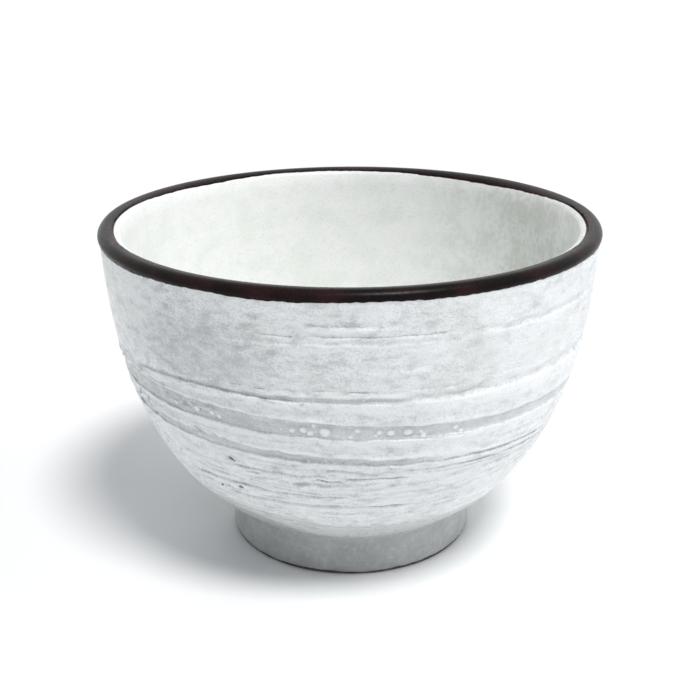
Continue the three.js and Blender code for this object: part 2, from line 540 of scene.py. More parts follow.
class NodeBench:
    """Lays out the shader nodes of one finish."""

    MIX_FIRST = 6
    MIX_SECOND = 7
    MIX_RESULT = 2

    def __init__(self, name: str, base: Colour) -> None:
        """Starts a material with its shader and its object coordinates.

        Args:
            name: The material's name.
            base: The colour that the others are laid over.
        """
        self.colour: Value | Colour = base
        self.material = bpy.data.materials.new(name)
        self.material.use_nodes = True
        self.tree = self.material.node_tree
        self.shader = self.tree.nodes["Principled BSDF"]
        self.coords = self.tree.nodes.new("ShaderNodeTexCoord").outputs["Object"]

    def follow_rows(self) -> None:
        """Counts heights along the wall's rows instead of straight up, lowered at the lower left as painted
        shade.
        """
        parts = self.tree.nodes.new("ShaderNodeSeparateXYZ")
        self.put(self.coords, parts.inputs[0])
        joined = self.tree.nodes.new("ShaderNodeCombineXYZ")
        sources = (parts.outputs["X"], parts.outputs["Y"], self.marked(Mark.PLACE))
        for socket, part in zip(joined.inputs, sources):
            self.put(part, socket)
        self.coords = joined.outputs[0]

    def put(self, value: Value | Colour, socket: bpy.types.NodeSocket) -> None:
        """Links a value to a socket, or writes a plain one on it.

        Args:
            value: A socket, a number or a colour.
            socket: The socket that takes it.
        """
        if isinstance(value, bpy.types.NodeSocket):
            self.tree.links.new(value, socket)
        else:
            socket.default_value = value

    def placed(self, size: float, stretch: Sequence[float], offset: float) -> bpy.types.NodeSocket:
        """Object coordinates counted in steps of a size.

        Args:
            size: The step, in millimetres.
            stretch: How much finer the steps are along each axis.
            offset: Moves the pattern, in steps.

        Returns:
            The mapped coordinates.
        """
        mapping = self.tree.nodes.new("ShaderNodeMapping")
        self.put(self.coords, mapping.inputs["Vector"])
        mapping.inputs["Scale"].default_value = [part / (size * MM) for part in stretch]
        mapping.inputs["Location"].default_value = (offset, offset, offset)
        return mapping.outputs["Vector"]

    def noise(
        self,
        size: float,
        detail: float = 3.0,
        stretch: Sequence[float] = (1.0, 1.0, 1.0),
        offset: float = 0.0,
    ) -> bpy.types.NodeSocket:
        """Soft noise.

        Args:
            size: About how large its lumps are, in millimetres.
            detail: How many finer layers it has.
            stretch: How much finer the lumps are along each axis.
            offset: Moves the pattern.

        Returns:
            Amounts about 0.5.
        """
        noise = self.tree.nodes.new("ShaderNodeTexNoise")
        self.put(self.placed(size, stretch, offset), noise.inputs["Vector"])
        noise.inputs["Scale"].default_value = 1.0
        noise.inputs["Detail"].default_value = detail
        return noise.outputs["Fac"]

    def specks(
        self, spacing: float, radius: float, share: float, offset: float = 0.0
    ) -> bpy.types.NodeSocket:
        """Scattered round specks.

        Args:
            spacing: Distance between the places where a speck may be, in millimetres.
            radius: A speck's radius as a share of that.
            share: Share of the places that have one.
            offset: Moves the pattern.

        Returns:
            1 in a speck and 0 outside.
        """
        cells = self.tree.nodes.new("ShaderNodeTexVoronoi")
        self.put(self.placed(spacing, (1.0, 1.0, 1.0), offset), cells.inputs["Vector"])
        cells.inputs["Scale"].default_value = 1.0
        parts = self.tree.nodes.new("ShaderNodeSeparateColor")
        self.put(cells.outputs["Color"], parts.inputs["Color"])
        chosen = self.ranged(parts.outputs["Red"], 1.0 - share, 1.0 - share + 0.02)
        return self.times(chosen, self.ranged(cells.outputs["Distance"], radius, radius * 0.5))

    def math(self, operation: str, first: Value, second: Value) -> bpy.types.NodeSocket:
        """One step of arithmetic on two values.

        Args:
            operation: The step's name.
            first: The first value.
            second: The second value.

        Returns:
            The result.
        """
        node = self.tree.nodes.new("ShaderNodeMath")
        node.operation = operation
        self.put(first, node.inputs[0])
        self.put(second, node.inputs[1])
        return node.outputs[0]

    def plus(self, first: Value, second: Value) -> bpy.types.NodeSocket:
        """The sum of two values."""
        return self.math("ADD", first, second)

    def times(self, first: Value, second: Value) -> bpy.types.NodeSocket:
        """The product of two values."""
        return self.math("MULTIPLY", first, second)

    def swing(self, noise: bpy.types.NodeSocket, amount: float) -> bpy.types.NodeSocket:
        """How far a noise is off its middle, times an amount."""
        return self.times(self.plus(noise, -0.5), amount)

    def summed(self, *parts: tuple[bpy.types.NodeSocket, Value]) -> bpy.types.NodeSocket:
        """The sum of some values, each times its weight.

        Args:
            *parts: Pairs of a value and its weight.

        Returns:
            The sum.
        """
        total, *others = [self.times(value, weight) for value, weight in parts]
        for other in others:
            total = self.plus(total, other)
        return total

    def ranged(
        self, value: Value, low: float, high: float, start: float = 0.0, end: float = 1.0
    ) -> bpy.types.NodeSocket:
        """Carries a value smoothly from one range to another.

        Args:
            value: The value.
            low: What becomes start.
            high: What becomes end.
            start: Result at and before low.
            end: Result at and past high.

        Returns:
            The carried value.
        """
        node = self.tree.nodes.new("ShaderNodeMapRange")
        node.interpolation_type = "SMOOTHSTEP"
        for socket, amount in zip(node.inputs, (value, low, high, start, end)):
            self.put(amount, socket)
        return node.outputs["Result"]

    def lay(self, share: Value, colour: Colour) -> None:
        """Lays a colour over those below it.

        Args:
            share: How much of it shows, from 0 to 1.
            colour: The colour.
        """
        node = self.tree.nodes.new("ShaderNodeMix")
        node.data_type = "RGBA"
        self.put(share, node.inputs["Factor"])
        self.put(self.colour, node.inputs[self.MIX_FIRST])
        self.put(colour, node.inputs[self.MIX_SECOND])
        self.colour = node.outputs[self.MIX_RESULT]

    def marked(self, mark: Mark) -> bpy.types.NodeSocket:
        """The amounts that a mesh keeps for a mark.

        Args:
            mark: The mark.

        Returns:
            The amounts.
        """
        node = self.tree.nodes.new("ShaderNodeAttribute")
        node.attribute_name = mark.value
        return node.outputs["Fac"]

    def along(
        self, axis: str, first: float, last: float, start: float = 0.0, end: float = 1.0
    ) -> bpy.types.NodeSocket:
        """A value that goes from start to end between two places along an axis of the bowl.

        Args:
            axis: The axis, X to the right or Z upwards.
            first: Where the change begins, in millimetres.
            last: Where it ends.
            start: The value on the first place's side.
            end: The value on the last place's side.

        Returns:
            The value.
        """
        node = self.tree.nodes.new("ShaderNodeSeparateXYZ")
        self.put(self.coords, node.inputs[0])
        return self.ranged(node.outputs[axis], first * MM, last * MM, start, end)

    def bumped(self, height: bpy.types.NodeSocket, depth: float) -> None:
        """Roughens the face.

        Args:
            height: The relief, between 0 and 1.
            depth: The relief's depth, in millimetres.
        """
        node = self.tree.nodes.new("ShaderNodeBump")
        node.inputs["Strength"].default_value = 1.0
        node.inputs["Distance"].default_value = depth * MM
        self.put(height, node.inputs["Height"])
        self.put(node.outputs["Normal"], self.shader.inputs["Normal"])

    def shaded(self, roughness: Value, gloss: float) -> bpy.types.Material:
        """Gives the shader the colour laid so far, its roughness and its gloss.

        Args:
            roughness: The roughness.
            gloss: The specular level.

        Returns:
            The finished material.
        """
        self.put(self.colour, self.shader.inputs["Base Color"])
        self.put(roughness, self.shader.inputs["Roughness"])
        self.shader.inputs["Specular IOR Level"].default_value = gloss
        return self.material


def shade(red: float, green: float, blue: float) -> Colour:
    """A colour from its linear parts."""
    return (red, green, blue, 1.0)


class Finish(Protocol):
    """A glaze or a clay that a piece can be dressed in."""

    def material(self) -> bpy.types.Material:
        """Lays out the finish's nodes."""
        ...


@dataclass(frozen=True)
class PaleGlaze:
    """Pale slip glaze: white where it is thick, grey where it is thin, sandy and specked, with painted shade
    in its grooves and at its left, and painted highlights on its ridges.

    The colours are named for what they show. Roughness goes from its smooth to its rough places, gloss is
    the specular level, and depth is that of its fine relief, in millimetres. The other finishes follow this.
    """

    thick: Colour = shade(0.86, 0.88, 0.89)
    sand: Colour = shade(0.47, 0.49, 0.50)
    grain: Colour = shade(0.40, 0.415, 0.42)
    cream: Colour = shade(0.74, 0.745, 0.70)
    thin: Colour = shade(0.56, 0.58, 0.585)
    trimmed: Colour = shade(0.63, 0.655, 0.645)
    foot: Colour = shade(0.46, 0.48, 0.48)
    white: Colour = shade(0.95, 0.965, 0.97)
    # Colour of the grooves' dark lines, thin glaze and painted shade, and of the bubbles' halos.
    line: Colour = shade(0.27, 0.28, 0.29)
    speck: Colour = shade(0.30, 0.305, 0.30)
    pit: Colour = shade(0.025, 0.022, 0.02)
    roughness: Place = (0.25, 0.42)
    gloss: float = 0.38
    depth: float = 0.24

    def material(self) -> bpy.types.Material:
        """Lays out the glaze's nodes.

        Returns:
            The glaze's material.
        """
        bench = NodeBench(Slot.PALE_GLAZE.value, self.thick)
        bench.follow_rows()
        fine = bench.noise(0.36, 3.0, (0.75, 0.75, 1.0))
        grain = bench.noise(1.4, 4.0, (0.5, 0.5, 1.0), 7.0)
        streak = bench.noise(0.8, 4.0, (0.14, 0.14, 1.0), 11.0)
        patchy = bench.ranged(bench.noise(9.0, 3.0, (0.6, 0.6, 1.0), 3.0), 0.36, 0.64, 0.25, 1.0)
        lower = bench.ranged(bench.along("Z", 42.0, 34.0), 0.0, 1.0, 0.15, 0.5)
        # The plain wall: warm clouds above, streaks below, the trimmed zone and the foot's thin glaze, both
        # reaching higher at the lower left as painted shade
        warm = bench.ranged(bench.noise(14.0, 2.0, offset=5.0), 0.5, 0.7, end=0.5)
        bench.lay(bench.times(warm, bench.along("Z", 46.0, 56.0)), self.cream)
        bench.lay(bench.times(bench.ranged(streak, 0.5, 0.7), lower), self.thin)
        bench.lay(bench.ranged(grain, 0.5, 0.36, end=0.35), self.white)
        below = bench.plus(bench.along("Z", 19.0, 16.8), bench.swing(grain, 1.4))
        trim = bench.times(bench.ranged(below, 0.25, 0.8), bench.ranged(streak, 0.66, 0.4, 0.6, 1.0))
        bench.lay(trim, self.trimmed)
        blotch = bench.ranged(bench.noise(3.4, 3.0, (0.7, 0.7, 1.0), 15.0), 0.48, 0.7, end=0.26)
        bench.lay(bench.times(blotch, patchy), self.sand)
        low = bench.plus(bench.along("Z", 12.6, 8.0), bench.swing(grain, 1.1))
        bench.lay(bench.ranged(low, 0.05, 0.95), self.foot)
        # The grooves: white ridges of thick glaze with painted highlights, thin grey floors with painted
        # shade added at the left, and sand between them
        # Thick white glaze on the ridges, partly a painted highlight.
        ridge = bench.times(bench.marked(Mark.RIDGE), bench.ranged(grain, 0.68, 0.44, 0.6, 1.0))
        bench.lay(ridge, self.white)
        fray = bench.plus(bench.swing(fine, 0.6), bench.swing(grain, 1.0))
        grey = bench.plus(bench.marked(Mark.GREY), bench.times(fray, 0.95))
        # More grey towards the left than the right: painted shade.
        grey = bench.times(bench.ranged(grey, 0.12, 0.8, end=0.85), bench.along("X", -34.0, 2.0, 1.0, 0.72))
        bench.lay(grey, self.thin)
        calm = bench.times(bench.ranged(ridge, 0.1, 0.8, 1.0, 0.15), bench.along("X", 4.0, 44.0, 1.0, 0.6))
        patchy = bench.times(patchy, calm)
        bench.lay(bench.times(bench.ranged(grain, 0.46, 0.72, end=0.5), patchy), self.sand)
        sandy = bench.ranged(fine, 0.45, 0.68, end=0.37)
        bench.lay(bench.times(sandy, bench.ranged(patchy, 0.0, 1.0, 0.35, 1.0)), self.grain)
        # Dark lines at the grooves' edges: thin glaze with painted shade in the recesses.
        line = bench.plus(bench.marked(Mark.LINE), bench.times(fray, 0.8))
        bench.lay(bench.ranged(line, 0.15, 1.0, end=0.8), self.line)
        # Specks, bubbles and pinholes
        speckle = bench.plus(bench.specks(1.5, 0.17, 0.4), bench.specks(0.75, 0.24, 0.25, 4.0))
        bench.lay(bench.times(bench.times(speckle, patchy), 0.3), self.speck)
        bubbles = bench.plus(bench.specks(1.3, 0.3, 0.35, 21.0), bench.specks(0.8, 0.34, 0.3, 25.0))
        ringed = bench.ranged(bench.marked(Mark.GREY), 0.6, 0.75, end=0.45)
        bench.lay(bench.times(bubbles, ringed), self.white)
        bench.lay(bench.times(bench.marked(Mark.HALO), 0.15), self.line)
        bench.lay(bench.times(bench.marked(Mark.DOME), 0.9), self.white)
        bench.lay(bench.marked(Mark.PIT), self.pit)
        streaky = bench.times(lower, 0.45)
        bench.bumped(bench.summed((fine, 0.4), (grain, 0.4), (streak, streaky)), self.depth)
        return bench.shaded(bench.ranged(grain, 0.3, 0.7, *self.roughness), self.gloss)


@dataclass(frozen=True)
class LinerGlaze:
    """Smooth off-white liner glaze, faintly clouded, with mottled painted shade at the right and greyer
    towards the floor.
    """

    white: Colour = shade(0.98, 0.985, 0.97)
    cloud: Colour = shade(0.92, 0.935, 0.905)
    pool: Colour = shade(0.735, 0.765, 0.72)
    painted_shade_right: Colour = shade(0.70, 0.70, 0.655)
    stain: Colour = shade(0.42, 0.41, 0.39)
    roughness: Place = (0.31, 0.44)
    gloss: float = 0.34
    depth: float = 0.08

    def material(self) -> bpy.types.Material:
        """Lays out the glaze's nodes.

        Returns:
            The glaze's material.
        """
        bench = NodeBench(Slot.LINER_GLAZE.value, self.white)
        cloud = bench.noise(6.0, 4.0)
        fine = bench.noise(1.4, 4.0, offset=2.0)
        bench.lay(bench.ranged(cloud, 0.42, 0.66), self.cloud)
        bench.lay(bench.ranged(fine, 0.46, 0.7, end=0.6), self.cloud)
        pooled = bench.plus(bench.along("Z", 38.0, 13.0), bench.swing(cloud, 0.5))
        bench.lay(bench.ranged(pooled, 0.0, 0.9), self.pool)
        mottle = bench.ranged(bench.summed((cloud, 0.45), (fine, 0.55)), 0.4, 0.62, 0.2, 1.0)
        # Painted shade over the right of the inside, mottled at its edge.
        bench.lay(bench.times(bench.along("X", 13.0, 46.0, 0.0, 0.64), mottle), self.painted_shade_right)
        bench.lay(bench.ranged(bench.noise(0.45, 3.0, offset=8.0), 0.5, 0.7, end=0.17), self.stain)
        bench.lay(bench.times(bench.specks(3.2, 0.08, 0.25), 0.2), self.stain)
        bench.bumped(bench.summed((cloud, 0.7), (fine, 0.3)), self.depth)
        return bench.shaded(bench.ranged(cloud, 0.3, 0.7, *self.roughness), self.gloss)


@dataclass(frozen=True)
class IronGlaze:
    """Dark brown-black iron glaze, glossy, thinner and browner at its edges."""

    black: Colour = shade(0.006, 0.0036, 0.0036)
    maroon: Colour = shade(0.022, 0.008, 0.009)
    brown: Colour = shade(0.03, 0.018, 0.014)
    ash: Colour = shade(0.02, 0.018, 0.018)
    roughness: Place = (0.25, 0.38)
    gloss: float = 0.08
    depth: float = 0.018

    def material(self) -> bpy.types.Material:
        """Lays out the glaze's nodes.

        Returns:
            The glaze's material.
        """
        bench = NodeBench(Slot.IRON_GLAZE.value, self.black)
        patch = bench.noise(9.0, 2.0)
        fine = bench.noise(0.6, 4.0, offset=2.0)
        bench.lay(bench.ranged(patch, 0.42, 0.68), self.maroon)
        bench.lay(bench.ranged(fine, 0.6, 0.78, end=0.3), self.ash)
        edge = bench.plus(bench.marked(Mark.EDGE), bench.swing(fine, 0.7))
        bench.lay(bench.ranged(edge, 0.7, 1.1, end=0.7), self.brown)
        bench.bumped(bench.summed((fine, 0.5), (patch, 0.5)), self.depth)
        return bench.shaded(bench.ranged(fine, 0.35, 0.7, *self.roughness), self.gloss)


@dataclass(frozen=True)
class GreyGlaze:
    """Thin grey glaze over clay, satin, with faint streaks from the turning tool."""

    name: str
    grey: Colour = shade(0.46, 0.48, 0.48)
    dark: Colour = shade(0.34, 0.355, 0.35)
    pale: Colour = shade(0.62, 0.64, 0.625)
    speck: Colour = shade(0.16, 0.14, 0.12)
    roughness: Place = (0.44, 0.6)
    gloss: float = 0.3
    depth: float = 0.1

    def material(self) -> bpy.types.Material:
        """Lays out the glaze's nodes.

        Returns:
            The glaze's material.
        """
        bench = NodeBench(self.name, self.grey)
        streak = bench.noise(0.9, 3.0, (0.12, 0.12, 1.0))
        cloud = bench.noise(5.0, 3.0, offset=4.0)
        grain = bench.noise(1.3, 4.0, offset=6.0)
        fine = bench.noise(0.4, 3.0, offset=9.0)
        for value, low, high, most, colour in (
            (cloud, 0.4, 0.7, 0.6, self.dark),
            (streak, 0.45, 0.75, 0.3, self.dark),
            (grain, 0.5, 0.75, 0.4, self.pale),
            (grain, 0.48, 0.3, 0.4, self.dark),
            (fine, 0.5, 0.72, 0.22, self.pale),
            (fine, 0.48, 0.3, 0.4, self.dark),
        ):
            bench.lay(bench.ranged(value, low, high, end=most), colour)
        bench.lay(bench.times(bench.specks(1.7, 0.13, 0.3), 0.5), self.speck)
        edge = bench.plus(bench.marked(Mark.EDGE), bench.swing(fine, 0.6))
        bench.lay(bench.ranged(edge, 0.3, 0.9, end=0.8), self.speck)
        bench.bumped(bench.summed((streak, 0.4), (fine, 0.6)), self.depth)
        return bench.shaded(bench.ranged(cloud, 0.3, 0.7, *self.roughness), self.gloss)


@dataclass(frozen=True)
class FiredClay:
    """Bare iron-bearing clay: matt, gritty, scorched in places."""

    name: str
    light: Colour = shade(0.13, 0.10, 0.083)
    dark: Colour = shade(0.055, 0.043, 0.037)
    grit: Colour = shade(0.36, 0.31, 0.26)
    roughness: Place = (0.74, 0.92)
    gloss: float = 0.5
    depth: float = 0.12

    def material(self) -> bpy.types.Material:
        """Lays out the clay's nodes.

        Returns:
            The clay's material.
        """
        bench = NodeBench(self.name, self.light)
        scorch = bench.noise(6.0, 4.0)
        fine = bench.noise(0.4, 4.0, offset=3.0)
        bench.lay(bench.ranged(scorch, 0.35, 0.65), self.dark)
        bench.lay(bench.ranged(fine, 0.5, 0.7, end=0.4), self.dark)
        bench.lay(bench.times(bench.specks(0.9, 0.22, 0.3), 0.7), self.grit)
        bench.bumped(fine, self.depth)
        return bench.shaded(bench.ranged(fine, 0.3, 0.7, *self.roughness), self.gloss)


class Cut(Enum):
    """How a groove meets the wall."""

    LEDGE = "soft above and sharp below"
    BAND = "sharp above and below, with a flat floor"


@dataclass(frozen=True)
class Groove:
    """A throwing groove of the wall, with the ridge of thick glaze below it.

    Attributes:
        upper: Height of its upper edge at the bowl's front, in millimetres.
        width: Distance from there to its lower edge.
        depth: Its depth.
        cut: How it meets the wall.
        grey: How grey its thin glaze is, from 0 to 1.
        line: How dark its deepest line is, thin glaze with painted shade, from 0 to 1.
        bead: Rise of the glaze that gathers above its upper edge.
        shelf: Rise of the ridge below its lower edge.
        reach: How far down that ridge thins out.
        white: How white the ridge is, thick glaze with a painted highlight, from 0 to 1.
        start: Where it begins, in degrees from the front towards the right.
        end: Where it ends. A groove with no end runs all round.
        fade: Stretch over which it begins and ends, in degrees.
        uneven: How much it changes on its way round, from 0 to 1.
    """

    upper: float
    width: float
    depth: float
    cut: Cut = Cut.LEDGE
    grey: float = 0.35
    line: float = 0.6
    bead: float = 0.0
    shelf: float = 0.1
    reach: float = 1.1
    white: float = 0.6
    start: float = 0.0
    end: float | None = None
    fade: float = 3.0
    uneven: float = 0.5

    STEEP = 0.2

    def rows(self) -> list[float]:
        """Heights at which the wall needs points for this groove.

        Returns:
            The heights, in no order.
        """
        lower = self.upper - self.width
        rows = [self.upper, lower + 0.2 * self.width, lower, lower - 0.17, lower - 0.45 * self.reach]
        if self.cut is Cut.BAND:
            rows += [self.upper + rise for rise in (1.0, 0.6, 0.2, -self.STEEP, self.STEEP - self.width)]
        else:
            rows.append(lower + 0.6 * self.width)
        return rows

    def strength(self, turn: np.ndarray) -> np.ndarray:
        """How much of the groove there is.

        Args:
            turn: Angles round the bowl.

        Returns:
            Its share at each angle, from 0 to a little over 1.
        """
        seed = int(self.upper * 100.0)
        sway = 0.3 * ragged(turn, seed, 2, 9) + 0.3 * ragged(turn, seed + 1, 12, 60)
        level = 1.0 - self.uneven * (0.4 + sway)
        if self.end is not None:
            half = math.radians(self.end - self.start) / 2.0
            off = np.abs(turned_from(turn, math.radians(self.start) + half))
            level = level * eased(half - off, 0.0, min(math.radians(self.fade), half))
        return np.clip(level, 0.0, 1.2)

    def relief(self, place: np.ndarray) -> np.ndarray:
        """Depth of the groove's section.

        Args:
            place: Heights on the wall's rows.

        Returns:
            Depth at each place, negative where the bead and the ridge rise.
        """
        below = self.upper - place
        width = self.width
        if self.cut is Cut.BAND:
            cut = hump(below, 0.0, self.STEEP, width - self.STEEP, width)
        else:
            cut = hump(below, 0.0, 0.8 * width, 0.8 * width, width)
        bead = hump(-below, -0.06, 0.2, 0.3, 1.2)
        shelf = hump(below, 0.88 * width, width + 0.15, width + 0.2, width + self.reach)
        return self.depth * cut - self.bead * bead - self.shelf * shelf

    def greyness(self, place: np.ndarray) -> np.ndarray:
        """Where its glaze is thin and grey.

        Args:
            place: Heights on the wall's rows.

        Returns:
            The share at each place, from 0 to 1.
        """
        below = self.upper - place
        if self.cut is Cut.BAND:
            return hump(below, -0.08, 0.16, self.width - 0.18, self.width + 0.08)
        return hump(below, 0.0, 0.8 * self.width, 0.88 * self.width, 1.04 * self.width)

    def darkness(self, place: np.ndarray) -> np.ndarray:
        """Where its dark lines run, thin glaze with painted shade: at the sharp edges.

        Args:
            place: Heights on the wall's rows.

        Returns:
            The share at each place, from 0 to 1.
        """
        below = self.upper - place
        width = self.width
        if self.cut is Cut.BAND:
            upper = hump(below, -0.05, 0.08, 0.16, 0.42)
            lower = hump(below, width - 0.4, width - 0.12, width - 0.06, width + 0.05)
            return np.maximum(upper, 0.5 * lower)
        return hump(below, 0.35 * width, 0.85 * width, 0.92 * width, 1.03 * width)

    def whiteness(self, place: np.ndarray) -> np.ndarray:
        """Where the glaze is thick and white, with a painted highlight: on the bead and the ridge.

        Args:
            place: Heights on the wall's rows.

        Returns:
            The share at each place, from 0 to 1.
        """
        below = self.upper - place
        width = self.width
        bead = hump(-below, -0.03, 0.12, 0.55, 1.1) * min(1.0, self.bead * 5.0)
        shelf = hump(below, 0.97 * width, width + 0.1, width + 0.35 * self.reach, width + self.reach)
        return np.maximum(bead, shelf * self.white)


@dataclass(frozen=True)
class Dome:
    """A bubble of white glaze in the broad grey ring.

    Attributes:
        turn: Place round the bowl, in degrees from the front towards the right.
        place: Height on the wall's rows, in millimetres.
        radius: Its radius, in millimetres.
    """

    turn: float
    place: float
    radius: float


@dataclass(frozen=True)
class Pinhole:
    """A small hole burst in the glaze.

    Attributes:
        turn: Place round the bowl, in degrees from the front towards the right.
        place: Height on the wall's rows, in millimetres.
        length: Half its length along the wall.
        width: Half its width across.
        slope: How it leans, in degrees.
    """

    turn: float
    place: float
    length: float
    width: float
    slope: float = 0.0


MAIN_GROOVES = (
    Groove(53.15, 1.75, 0.2, grey=0.95, line=0.5, bead=0.12, shelf=0.2, reach=3.2, white=0.5, uneven=0.45,
           start=-62.0, end=-14.0, fade=14.0),
    Groove(52.75, 1.3, 0.18, Cut.BAND, grey=0.95, line=0.4, bead=0.16, shelf=0.22, reach=3.0, white=1.0,
           uneven=0.4, start=-34.0, end=20.0, fade=15.0),
    Groove(53.6, 2.05, 0.32, grey=0.45, line=0.25, shelf=0.26, reach=3.4, white=1.0, uneven=0.25,
           start=-4.0, end=224.0, fade=24.0),
    Groove(46.65, 3.75, 0.26, Cut.BAND, grey=0.75, line=0.42, bead=0.34, shelf=0.12, reach=1.9, uneven=0.25,
           start=-92.0, end=40.0, fade=34.0),
    Groove(46.5, 3.0, 0.24, Cut.BAND, grey=0.85, line=0.5, bead=0.12, shelf=0.14, reach=1.9, white=1.0,
           uneven=0.3, start=-4.0, end=286.0, fade=32.0),
    Groove(38.6, 1.7, 0.2, Cut.BAND, grey=0.9, line=0.3, bead=0.3, shelf=0.12, reach=1.7, uneven=0.35,
           start=-90.0, end=30.0, fade=20.0),
    Groove(38.0, 1.1, 0.24, grey=0.7, line=0.75, bead=0.14, shelf=0.12, reach=1.5, uneven=0.3,
           start=12.0, end=64.0, fade=14.0),
    Groove(38.6, 1.6, 0.2, Cut.BAND, grey=0.7, line=0.25, bead=0.18, shelf=0.1, reach=1.7, uneven=0.4,
           start=64.0, end=294.0, fade=40.0),
    Groove(20.3, 0.75, 0.2, grey=0.4, line=0.75, shelf=0.12, reach=0.9, white=0.5, uneven=0.3,
           start=-42.0, end=36.0, fade=16.0),
)

